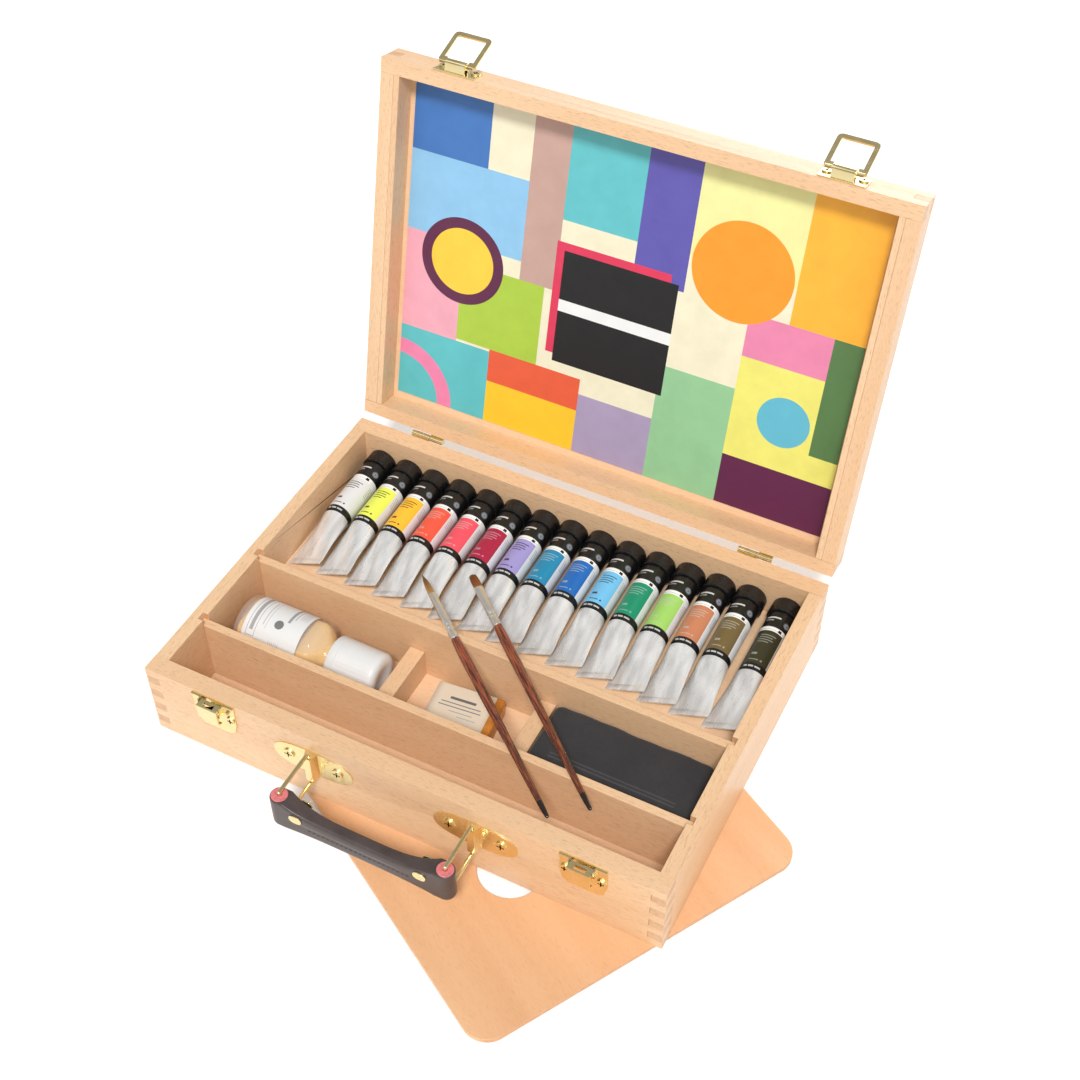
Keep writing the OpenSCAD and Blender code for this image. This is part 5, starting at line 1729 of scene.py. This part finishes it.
    def cap(self) -> bpy.types.Object:
        """Lathes the cap: r(s, a) = r(s) - d (1 - cos n a) / 2 over the fluted skirt.

        Returns:
            The cap.
        """
        r = self.cap_r
        prof = [(14.9, 0.0), (14.9, 12.0), (15.0, 12.6), (0.15, 12.7), (0.0, 13.2), (0.0, r - 1.0)]
        prof += [(0.3, r - 0.3), (0.9, r - 0.05), (6.2, r - 0.05)]
        prof += [(6.5, r - 0.5), (6.9, r - 0.5), (7.2, r - 0.1)]
        prof += [(s, r - 0.1 - 0.012 * (s - 7)) for s in np.linspace(8, 34.5, 8)]
        prof += [(35.6, r - 0.8), (36.8, r - 1.7), (37.6, r - 2.9), (38.0, r - 4.4)]
        prof += [(38.0, 8.0), (37.7, 7.6), (37.7, 0.0)]

        def flute(s: np.ndarray, rad: np.ndarray, a: np.ndarray) -> np.ndarray:
            """Returns the flutes' depth, none on the collar or the top."""
            held = np.clip((s - 7.2) / 1.2, 0, 1) * np.clip((35.2 - s) / 1.5, 0, 1)
            return -self.flute_depth * held * (0.5 - 0.5 * np.cos(self.flutes * a)) * (rad > 15)

        obj = turned("bottle_cap_fluted", prof, 8 * self.flutes, self.axis(self.cap_x), flute)
        sharpen(obj, 45.0)
        white = MouldedFinish(
            "white_plastic", (0.86, 0.86, 0.855), other=(0.83, 0.83, 0.825), low=0.28, high=0.4, scale=90.0
        )
        return dress(obj, white.material())

    def build(self) -> List[bpy.types.Object]:
        """Builds the bottle, its medium, label and cap.

        Returns:
            The finished pieces.
        """
        body = body_of(frame["nodes"]["bottle_glass"])[0]
        glass, medium, label = self.glass(), self.medium(), self.label()
        for part in (glass, medium, label):
            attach(part, body)
        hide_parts("bottle_glass")
        cap = self.cap()
        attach(cap, body_of(frame["nodes"]["bottle_cap"])[0])
        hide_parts("bottle_cap")
        for part in (glass, medium, label, cap):
            LOG.info("bottle %s", part.name)
        return [glass, medium, label, cap]


def ring_outline(w: float, d: float, r: float, n: int) -> np.ndarray:
    """Rounded rectangle: n points evenly spaced round straight sides and corner arcs of radius r.

    Args:
        w: Width.
        d: Depth.
        r: Corner radius.
        n: Number of points.

    Returns:
        The points, one per row.
    """
    a = np.linspace(0, np.pi / 2, 24)
    arcs = []
    for k, (sx, sy) in enumerate(((1, 1), (-1, 1), (-1, -1), (1, -1))):
        b = a + k * np.pi / 2
        arcs.append(np.stack([sx * (w / 2 - r) + r * np.cos(b), sy * (d / 2 - r) + r * np.sin(b)], -1))
    loop = np.concatenate(arcs)
    loop = np.concatenate([loop, loop[:1]])
    run = np.concatenate([[0], np.cumsum(np.linalg.norm(np.diff(loop, axis=0), axis=1))])
    at = np.linspace(0, run[-1], n, endpoint=False)
    return np.stack([np.interp(at, run, loop[:, 0]), np.interp(at, run, loop[:, 1])], -1)


@dataclass
class SoapBar:
    """Amber soap bar with a paper label wrapped over its top."""

    w: float = 49.0
    d: float = 35.0
    h: float = 14.0
    x: float = -2.0
    y: float = -43.5
    turn: float = math.radians(6)
    edge_r: float = 1.4
    corner_r: float = 2.6
    paper_gap: float = 0.12
    paper_t: float = 0.1
    paper_span: Pair = (-24.3, 18.6)

    def place(self) -> Matrix:
        """Returns the bar's place on the floor, turned a little."""
        return Matrix.Translation((self.x, self.y, FLOOR_Z)) @ Matrix.Rotation(self.turn, 4, "Z")

    def bar(self) -> bpy.types.Object:
        """Stacks rounded rectangles: inset(z) follows a quarter circle at the bottom and top edges.

        Returns:
            The bar.
        """
        e = self.edge_r
        q = np.linspace(0, np.pi / 2, 7)
        low = [(e - e * np.sin(t), e - e * np.cos(t)) for t in q]
        levels = [(i, z) for i, z in low] + [(0.0, self.h / 2)] + [(i, self.h - z) for i, z in reversed(low)]
        n = 160
        rows = [ring_outline(self.w - 2 * i, self.d - 2 * i, self.corner_r, n) for i, _ in levels]
        pts = np.concatenate([np.column_stack([xy, np.full(n, z)]) for xy, (_, z) in zip(rows, levels)])
        bottom = list(range(n))[::-1]
        top = list(range((len(levels) - 1) * n, len(levels) * n))
        faces = quads(len(levels), n, True).tolist() + [bottom, top]
        obj = shell("soap_bar", carried(pts, self.place()), faces)
        weld(obj)
        return dress(obj, SoapFinish("amber_soap", (0.80, 0.53, 0.20)).material())

    def label(self) -> bpy.types.Object:
        """Lays paper over the top and down both long sides: y and z follow the bar's outline round each edge.

        Returns:
            The label, with u along the bar and v over it in millimetres.
        """
        t = self.paper_gap
        half, e = self.d / 2 + t, self.edge_r + 0.1
        q = np.linspace(0, np.pi / 2, 9)
        side = np.column_stack([-half + e - e * np.cos(q), self.h + t - e + e * np.sin(q)])
        top = np.array([(y, self.h + t) for y in (-8, 0, 8)])
        path = np.concatenate([[[-half, 1.2]], side, top, (side * [-1, 1])[::-1], [[half, 1.2]]])
        run = np.concatenate([[0], np.cumsum(np.linalg.norm(np.diff(path, axis=0), axis=1))])
        run -= run[-1] / 2
        x = np.linspace(*self.paper_span, 9)
        xx, k = np.meshgrid(x, np.arange(len(path)), indexing="ij")
        pts = np.stack([xx, path[k, 0], path[k, 1]], -1).reshape(-1, 3)
        uv = np.stack([xx, run[k]], -1).reshape(-1, 2)
        obj = shell("soap_label", carried(pts, self.place()), quads(len(x), len(path), False), uv)
        solid = obj.modifiers.new("paper", "SOLIDIFY")
        solid.thickness = self.paper_t * MM
        solid.offset = 1.0
        bars = [(-12.0, 7.0, 5.0, 7.2, 0.40), (-17, 12, 1.4, 2.3, 0.5), (-18, 13, -1.6, -0.7, 0.5)]
        bars += [(-9, 8, -5.2, -4.5, 0.62), (-2.0, 12.0, -8.6, -7.9, 0.66)]
        return dress(obj, LabelFinish("soap_paper", (0.86, 0.80, 0.71), bars=tuple(bars)).material())

    def build(self) -> List[bpy.types.Object]:
        """Builds the bar and its label.

        Returns:
            The finished pieces.
        """
        body = body_of(frame["nodes"]["soap"])[0]
        bar, label = self.bar(), self.label()
        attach(bar, body)
        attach(label, body)
        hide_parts("soap")
        for part in (bar, label):
            LOG.info("soap %s", part.name)
        return [bar, label]


@dataclass
class Pouch:
    """Folded black felt pouch, three thick layers with a soft crown."""

    w: float = 116.0
    d: float = 57.0
    h: float = 32.0
    layers: int = 3
    x: float = 117.0
    y: float = -48.1
    corner_r: float = 6.0
    crown: float = 1.4
    sink: float = 2.0
    soft: float = 12.0
    count: int = 220

    def rings(self) -> Tuple[List[np.ndarray], List[np.ndarray]]:
        """Stacks rounded rectangles: a layer's inset is 1.9 (2t - 1)^6, and the top crowns as 1 - f^5.

        Returns:
            The points of each ring in plan, and their heights.
        """
        n = self.count
        each = (self.h - self.crown) / self.layers
        t = np.linspace(0, 1, 13)
        rows, heights = [], []
        for k in range(self.layers):
            inset = 1.9 * (2 * t - 1) ** 6 + 0.15
            if k == 0:
                inset = inset + 0.6 * (1 - t) ** 4
            for i, share in zip(inset, t):
                rows.append(ring_outline(self.w - 2 * i, self.d - 2 * i, self.corner_r, n))
                heights.append(np.full(n, each * (k + share)))
        edge = rows[-1]
        for f in (0.985, 0.965, 0.93, 0.88, 0.8, 0.7, 0.58, 0.45, 0.32, 0.2, 0.1, 0.0):
            rows.append(edge * f)
            dip = 0.25 * np.sin(edge[:, 0] * f * 0.09 + 0.7) * np.sin(edge[:, 1] * f * 0.12 + 0.4)
            heights.append(self.h - self.crown + 1.15 * (1 - f**5) + dip * (1 - f**3))
        return [rows[0] * 0.0] + rows, [np.full(n, 0.0)] + heights

    def settle(self, pts: np.ndarray) -> None:
        """Sinks the top but for a raised corner, and pulls the edges in by waves.

        Over the upper 12 mm the top sinks by sink (1 - exp(-((x + 50) / 15)^2 - ((y - 22) / 10)^2)),
        and each edge moves in by a sin(k x + c), which fades towards the middle.

        Args:
            pts: The pouch's points, which are moved.
        """
        x, y = pts[:, 0].copy(), pts[:, 1].copy()
        top = np.clip((pts[:, 2] - self.h + self.soft) / self.soft, 0, 1) ** 2
        corner = np.exp(-(((x + 50) / 15) ** 2) - ((y - 22) / 10) ** 2)
        fold = 0.5 * np.sin(0.16 * x + 0.22 * y + 1.0) * np.exp(-(((y - 8) / 14) ** 2))
        pts[:, 2] -= top * (self.sink * (1 - corner) + 0.3 * fold)
        back = np.clip(0.9 + 0.8 * np.sin(0.11 * x + 0.8) + 0.5 * np.sin(0.27 * x + 2.0), 0, None)
        front = np.clip(0.6 + 0.7 * np.sin(0.13 * x + 1.0), 0, None)
        side = np.clip(0.7 + 0.8 * np.sin(0.19 * y), 0, None)
        to_back = np.clip(2 * y / self.d, 0, 1) ** 3
        to_front = np.clip(-2 * y / self.d, 0, 1) ** 3
        to_side = np.sign(x) * np.clip(2 * np.abs(x) / self.w, 0, 1) ** 4
        pts[:, 1] -= top * (back * to_back - front * to_front)
        pts[:, 0] -= top * side * to_side
        pts[:, 2] = np.minimum(pts[:, 2], self.h)

    def build(self) -> bpy.types.Object:
        """Builds the pouch as one closed skin of rings.

        Returns:
            The finished pouch.
        """
        rows, heights = self.rings()
        pts = np.concatenate([np.column_stack([xy, z]) for xy, z in zip(rows, heights)])
        self.settle(pts)
        placed = pts + np.array([self.x, self.y, FLOOR_Z])
        obj = shell("felt_pouch", placed, quads(len(rows), self.count, True))
        weld(obj)
        dress(obj, FeltFinish("black_felt", (0.14, 0.14, 0.145), nap=(0.235, 0.235, 0.24)).material())
        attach(obj, body_of(frame["nodes"]["pouch"])[0])
        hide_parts("pouch")
        LOG.info("pouch %s", obj.name)
        return obj


@dataclass(frozen=True)
class BrushKind:
    """Sizes and colours of one brush, in millimetres and, for its turn, degrees.

    Close is the share of the root's radius that the hair keeps at its tip, and short the share of
    the hair's length that the outer strands lack. Thin and wide scale the hair across.
    """

    number: int
    tip: Pair
    turn: float
    length: float
    hair: float
    ferrule: float
    close: float
    root: Rgb
    point: Rgb
    thin: float = 1.0
    wide: float = 1.0
    short: float = 0.36

    def press(self, points: np.ndarray) -> np.ndarray:
        """Flattens the brush towards its hair: the thin and wide scales fade to 1 along the ferrule.

        Args:
            points: Points round the brush's axis.

        Returns:
            The pressed points.
        """
        f = np.clip((points[:, 2] - self.hair) / (0.62 * self.ferrule), 0, 1)
        f = f * f * (3 - 2 * f)
        thin = self.thin + (1 - self.thin) * f
        wide = self.wide + (1 - self.wide) * f
        return points * np.column_stack([thin, wide, np.ones(len(f))])


BRUSHES = (
    BrushKind(
        number=1,
        tip=(-69.029, 20.173),
        turn=-39.5,
        length=221.0,
        hair=21.0,
        ferrule=44.0,
        close=0.06,
        root=(0.80, 0.62, 0.38),
        point=(0.42, 0.27, 0.13),
    ),
    BrushKind(
        number=2,
        tip=(-36.469, 34.318),
        turn=-40.8,
        length=210.0,
        hair=12.5,
        ferrule=38.0,
        close=0.85,
        root=(0.64, 0.40, 0.20),
        point=(0.50, 0.27, 0.13),
        thin=0.50,
        wide=1.27,
        short=0.10,
    ),
)


@dataclass
class Brush:
    """A brush lying over the long dividers: hair, crimped ferrule and lacquered handle."""

    kind: BrushKind
    strands: int = 900
    root_r: float = 2.2
    lift: float = 0.02
    divider_z: float = 61.5
    rear_y: float = -19.0
    front_y: float = -86.5
    board: float = 6.0

    def line(self) -> List[Pair]:
        """Marks the handle's swelling at shares of its length.

        Returns:
            Distance and radius of each mark, in millimetres.
        """
        k = self.kind
        s0 = k.hair + k.ferrule
        n = k.length - s0
        shares = (0.0, 0.06, 0.14, 0.3, 0.5, 0.8, 0.95, 0.985)
        radii = (3.0, 3.45, 3.7, 3.45, 2.9, 2.25, 1.9, 1.4)
        return [(s0 + n * f, r) for f, r in zip(shares, radii)]

    def radius(self, s: float) -> float:
        """Returns the brush's radius at a distance from its tip, straight between the marks."""
        line = self.line()
        return float(np.interp(s, [p[0] for p in line], [p[1] for p in line])) if s > line[0][0] else 3.0

    def seat(self, far: float, near: float, drop: float) -> float:
        """Returns the axis height over one divider: the greatest r(s) + drop (s - near) on it."""
        return max(self.radius(s) + drop * (s - near) for s in np.linspace(far, near, 13))

    def place(self) -> Matrix:
        """Rests the brush on both dividers: its tilt is the change of radius over the span.

        Returns:
            The matrix that lays the lathe axis from the tip along the brush, in millimetres.
        """
        k = self.kind
        turn = math.radians(k.turn)

        def along(y: float) -> float:
            """Returns the distance from the tip to a depth in the case."""
            return (k.tip[1] - y) / math.sin(-turn)

        rear, front = along(self.rear_y + self.board), along(self.front_y + self.board)
        drop = 0.0
        for _ in range(2):
            behind = self.seat(along(self.rear_y), rear, drop)
            ahead = self.seat(along(self.front_y), front, drop)
            drop = (behind - ahead) / (front - rear)
        z = self.divider_z + self.lift + self.seat(along(self.rear_y), rear, drop) + drop * rear
        move = Matrix.Translation((k.tip[0], k.tip[1], z))
        return move @ Matrix.Rotation(turn, 4, "Z") @ Matrix.Rotation(math.pi / 2 + math.atan(drop), 4, "Y")

    def handle(self) -> bpy.types.Object:
        """Lathes the handle: straight lines between the marks, smoothed three times by (a + 2b + c) / 4.

        Returns:
            The handle.
        """
        marks = self.line()
        s = np.array([m[0] for m in marks])
        r = np.array([m[1] for m in marks])
        fine = np.linspace(s[0], s[-1], 60)
        soft = np.interp(fine, s, r)
        for _ in range(3):
            soft[1:-1] = (soft[:-2] + 2 * soft[1:-1] + soft[2:]) / 4
        end = self.kind.length
        bow = np.linspace(0.25, math.pi / 2, 7)
        tip = [(s[-1] + (end - s[-1]) * math.sin(q), r[-1] * math.cos(q)) for q in bow]
        profile = [(s[0] - 1.9, 0.0), (s[0] - 1.9, 2.45), (s[0] + 0.02, 2.45)] + list(zip(fine, soft)) + tip
        obj = turned("brush_%d_lacquer" % self.kind.number, profile, 48, self.place())
        finish = LacquerFinish(
            "brush_lacquer_%d" % self.kind.number,
            (0.66, 0.33, 0.18),
            dark=(0.25, 0.11, 0.07),
            start_at=s[0],
            end_at=end,
        )
        return dress(obj, finish.material())

    def ferrule(self) -> bpy.types.Object:
        """Lathes the ferrule with two crimp rings before the handle.

        Returns:
            The ferrule.
        """
        s0, n = self.kind.hair, self.kind.ferrule
        end = s0 + n
        profile = [(s0 + 3, 0.0), (s0 + 3, 2.28), (s0, 2.3)]
        profile += [(s0 - 0.05, 2.45), (s0 + 0.1, 2.58), (s0 + 0.6, 2.6)]
        profile += [(s0 + n * f, 2.6 + 0.4 * f / 0.62) for f in (0.2, 0.4, 0.62)]
        for share in (0.72, 0.8):
            mark = s0 + n * share
            for off, radius in ((-0.9, 2.99), (-0.4, 2.80), (0.0, 2.72), (0.4, 2.80), (0.9, 2.99)):
                profile.append((mark + off, radius))
        profile += [(end - 0.6, 2.99), (end - 0.15, 2.97), (end, 2.85), (end, 2.52), (end - 1.9, 2.5)]
        name = "brush_%d_crimped_ferrule" % self.kind.number
        obj = turned(name, profile, 48, self.place(), press=self.kind.press)
        steel = MetalFinish(
            "nickel_ferrule_%d" % self.kind.number,
            (0.95, 0.94, 0.91),
            low=0.3,
            high=0.38,
            worn=(0.98, 0.97, 0.95),
            bump=0.01,
        )
        return dress(obj, steel.material())

    def tuft(self) -> bpy.types.Object:
        """Sweeps thin tapering strands from the ferrule to the tip.

        Strand i starts at sunflower place (r_i, a_i) on the root disc. At share t of its length its
        radius is r_i (1 + 0.16 sin(pi t) - (1 - close) t^2.2), and the outer strands end sooner.

        Returns:
            The tuft, with u across the strands and v along them in millimetres from the ferrule.
        """
        rng = np.random.default_rng(9 + self.kind.number)
        i = np.arange(self.strands)
        r0 = self.root_r * np.sqrt((i + 0.5) / self.strands)
        a0 = i * SUNFLOWER_TURN + rng.normal(0, 0.02, self.strands)
        share = 1 - self.kind.short * (r0 / self.root_r) ** 2 * rng.uniform(0.75, 1.15, self.strands)
        root = self.kind.hair + 2.0
        t = np.linspace(0, 1, 8)[None, :]
        grown = t * share[:, None]
        rad = r0[:, None] * (1 + 0.16 * np.sin(np.pi * grown) - (1 - self.kind.close) * grown**2.2)
        ang = a0[:, None] + rng.normal(0, 0.10, self.strands)[:, None] * grown
        cx, cy, cz = rad * np.cos(ang), rad * np.sin(ang), root * (1 - grown) + 0 * rad
        girth = 0.085 * (1 - 0.85 * t**2) * rng.uniform(0.8, 1.2, self.strands)[:, None]
        k = np.linspace(0, 2 * np.pi, 3, endpoint=False)[None, None, :] + ang[:, :, None]
        px = cx[:, :, None] + girth[:, :, None] * np.cos(k)
        py = cy[:, :, None] + girth[:, :, None] * np.sin(k)
        pts = np.stack([px, py, cz[:, :, None] + 0 * px], -1).reshape(-1, 3)
        pts = self.kind.press(pts)
        rings, sides = t.shape[1], k.shape[2]
        faces = repeated(quads(rings, sides, True), self.strands, rings * sides)
        uv = np.stack([i[:, None, None] * 0.37 + 0 * px, (root - cz)[:, :, None] + 0 * px], -1).reshape(-1, 2)
        obj = shell("brush_%d_tuft" % self.kind.number, carried(pts, self.place()), faces, uv)
        name = "brush_hair_%d" % self.kind.number
        return dress(obj, HairFinish(name, self.kind.point, root=self.kind.root, length=root).material())

    def build(self) -> List[bpy.types.Object]:
        """Builds the brush.

        Returns:
            The finished pieces.
        """
        made = []
        for part, obj in (("handle", self.handle()), ("ferrule", self.ferrule()), ("hair", self.tuft())):
            node = "brush_%d_%s" % (self.kind.number, part)
            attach(obj, body_of(frame["nodes"][node])[0])
            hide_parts(node)
            made.append(obj)
        LOG.info("brush %d with %d strands", self.kind.number, self.strands)
        return made


@dataclass
class LidCard:
    """The printed card inside the lid."""

    w: float = 343.0
    d: float = 244.0
    low: float = 84.9
    high: float = 85.7
    inset: float = 0.02

    def build(self) -> bpy.types.Object:
        """Lays a closed thin box in the lid, its print facing into the case.

        Returns:
            The card, with u across it and v up it in millimetres as the open lid shows it.
        """
        x = np.linspace(-self.w / 2 + self.inset, self.w / 2 - self.inset, 3)
        y = np.linspace(-self.d / 2 + self.inset, self.d / 2 - self.inset, 3)
        xx, yy = np.meshgrid(x, y, indexing="ij")
        layers = [np.stack([xx, yy, np.full_like(xx, z)], -1).reshape(-1, 3) for z in (self.low, self.high)]
        pts = np.concatenate(layers)
        uv = np.stack([pts[:, 0] + self.w / 2, self.d / 2 - pts[:, 1]], -1)
        face = quads(3, 3, False)
        edge = np.array([0, 1, 2, 5, 8, 7, 6, 3])
        nxt = np.roll(edge, -1)
        wall = np.stack([edge, nxt, nxt + 9, edge + 9], -1)
        faces = np.concatenate([face, face[:, ::-1] + 9, wall])
        obj = shell("lid_card_print", carried(pts, lid_matrix()), faces, uv, smooth=False)
        weld(obj)
        dress(obj, CardFinish("printed_card", (0.93, 0.90, 0.78)).material())
        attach(obj, body_of(frame["nodes"]["lid_card"])[0])
        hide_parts("lid_card")
        LOG.info("card %s", obj.name)
        return obj


# Studio


@dataclass(frozen=True)
class SoftLight:
    """One soft light: a disc of a width in metres, or a far one whose width is an angle in degrees."""

    name: str
    place: Place
    size: float
    power: float
    far: bool = False

    def build(self, target: Place) -> bpy.types.Object:
        """Adds the light and points it at the target.

        Args:
            target: The place it lights, in metres.

        Returns:
            The light.
        """
        if self.far:
            data = bpy.data.lights.new(self.name, "SUN")
            data.angle = math.radians(self.size)
        else:
            data = bpy.data.lights.new(self.name, "AREA")
            data.shape = "DISK"
            data.size = self.size
        data.energy = self.power
        obj = bpy.data.objects.new(self.name, data)
        away = Matrix.Translation(self.place).translation - Matrix.Translation(target).translation
        obj.matrix_world = Matrix.Translation(self.place) @ away.to_track_quat("Z", "Y").to_matrix().to_4x4()
        bpy.context.scene.collection.objects.link(obj)
        return obj


@dataclass
class Studio:
    """Pale floor, white surroundings, soft lights and the camera."""

    target: Place = (0.02, 0.0, 0.08)
    strength: float = 0.37
    floor_share: float = 0.98
    level_r: float = 2.0
    floor_r: float = 5.0
    lens: float = 54.31
    seen_from: Place = (0.35445, -0.62686, 0.91264)
    axes: Tuple[Place, Place, Place] = (
        (0.89076, 0.45447, 0.0),
        (-0.33026, 0.64731, 0.68696),
        (0.31220, -0.61192, 0.72670),
    )
    lights: Sequence[SoftLight] = (
        SoftLight("front_light", (0.45, -1.05, 1.70), 12.0, 2.6, far=True),
        SoftLight("key_light", (-0.75, -0.9, 1.9), 1.1, 3.0),
        SoftLight("fill_light", (1.3, -0.8, 1.0), 1.5, 4.5),
        SoftLight("back_light", (0.0, 1.6, 0.8), 1.2, 15.0),
    )

    def floor(self) -> bpy.types.Object:
        """Makes a wide floor whose edge rises: z = 0.25 ((d - 2) / 2)^2 past the level part's 2 m.

        Returns:
            The floor.
        """
        level = np.linspace(0.0, self.level_r, 5)
        r = np.concatenate([level, np.linspace(self.level_r + 0.2, self.floor_r, 15)])[:, None]
        a = np.linspace(0, 2 * np.pi, 64, endpoint=False)[None, :]
        z = 0.25 * (np.clip(r - self.level_r, 0, None) / self.level_r) ** 2 + 0 * a
        pts = np.stack([r * np.cos(a), r * np.sin(a), z], -1).reshape(-1, 3) / MM
        obj = shell("studio_floor", pts, quads(len(r), a.size, True))
        weld(obj)
        mat, _, shader = Finish("studio_white").start()
        shader.inputs["Base Color"].default_value = (self.floor_share,) * 3 + (1.0,)
        shader.inputs["Roughness"].default_value = 0.9
        shader.inputs["Specular IOR Level"].default_value = 0.1
        dress(obj, mat)
        return obj

    def world(self) -> None:
        """Sets plain white surroundings."""
        world = bpy.data.worlds.new("studio_world")
        world.use_nodes = True
        back = world.node_tree.nodes["Background"]
        back.inputs["Color"].default_value = (1.0, 1.0, 1.0, 1.0)
        back.inputs["Strength"].default_value = self.strength
        bpy.context.scene.world = world

    def camera(self) -> bpy.types.Object:
        """Places the camera at the photograph's viewing angle.

        Returns:
            The camera.
        """
        data = bpy.data.cameras.new("camera")
        data.lens = self.lens
        data.sensor_width = 36.0
        data.clip_end = 50.0
        obj = bpy.data.objects.new("camera", data)
        right, up, back = self.axes
        columns = zip(right, up, back, self.seen_from)
        obj.matrix_world = Matrix(list(columns) + [(0, 0, 0, 1)])
        bpy.context.scene.collection.objects.link(obj)
        bpy.context.scene.camera = obj
        return obj

    def build(self) -> None:
        """Builds the whole studio."""
        scene = bpy.context.scene
        scene.view_settings.view_transform = "Standard"
        self.floor()
        self.world()
        for light in self.lights:
            light.build(self.target)
        self.camera()
        LOG.info("studio with %d lights", len(self.lights))


def main() -> None:
    """Builds the whole object and its studio."""
    WoodParts().build()
    PaletteBoard().build()
    Hardware().build()
    Grip().build()
    tubes = [PaintTube(n + 1, hue) for n, hue in enumerate(Hue)]
    for tube in tubes:
        tube.build()
    TubeCaps(tubes).build()
    Bottle().build()
    SoapBar().build()
    Pouch().build()
    for kind in BRUSHES:
        Brush(kind).build()
    LidCard().build()
    Studio().build()


if __name__ == "__main__":
    main()
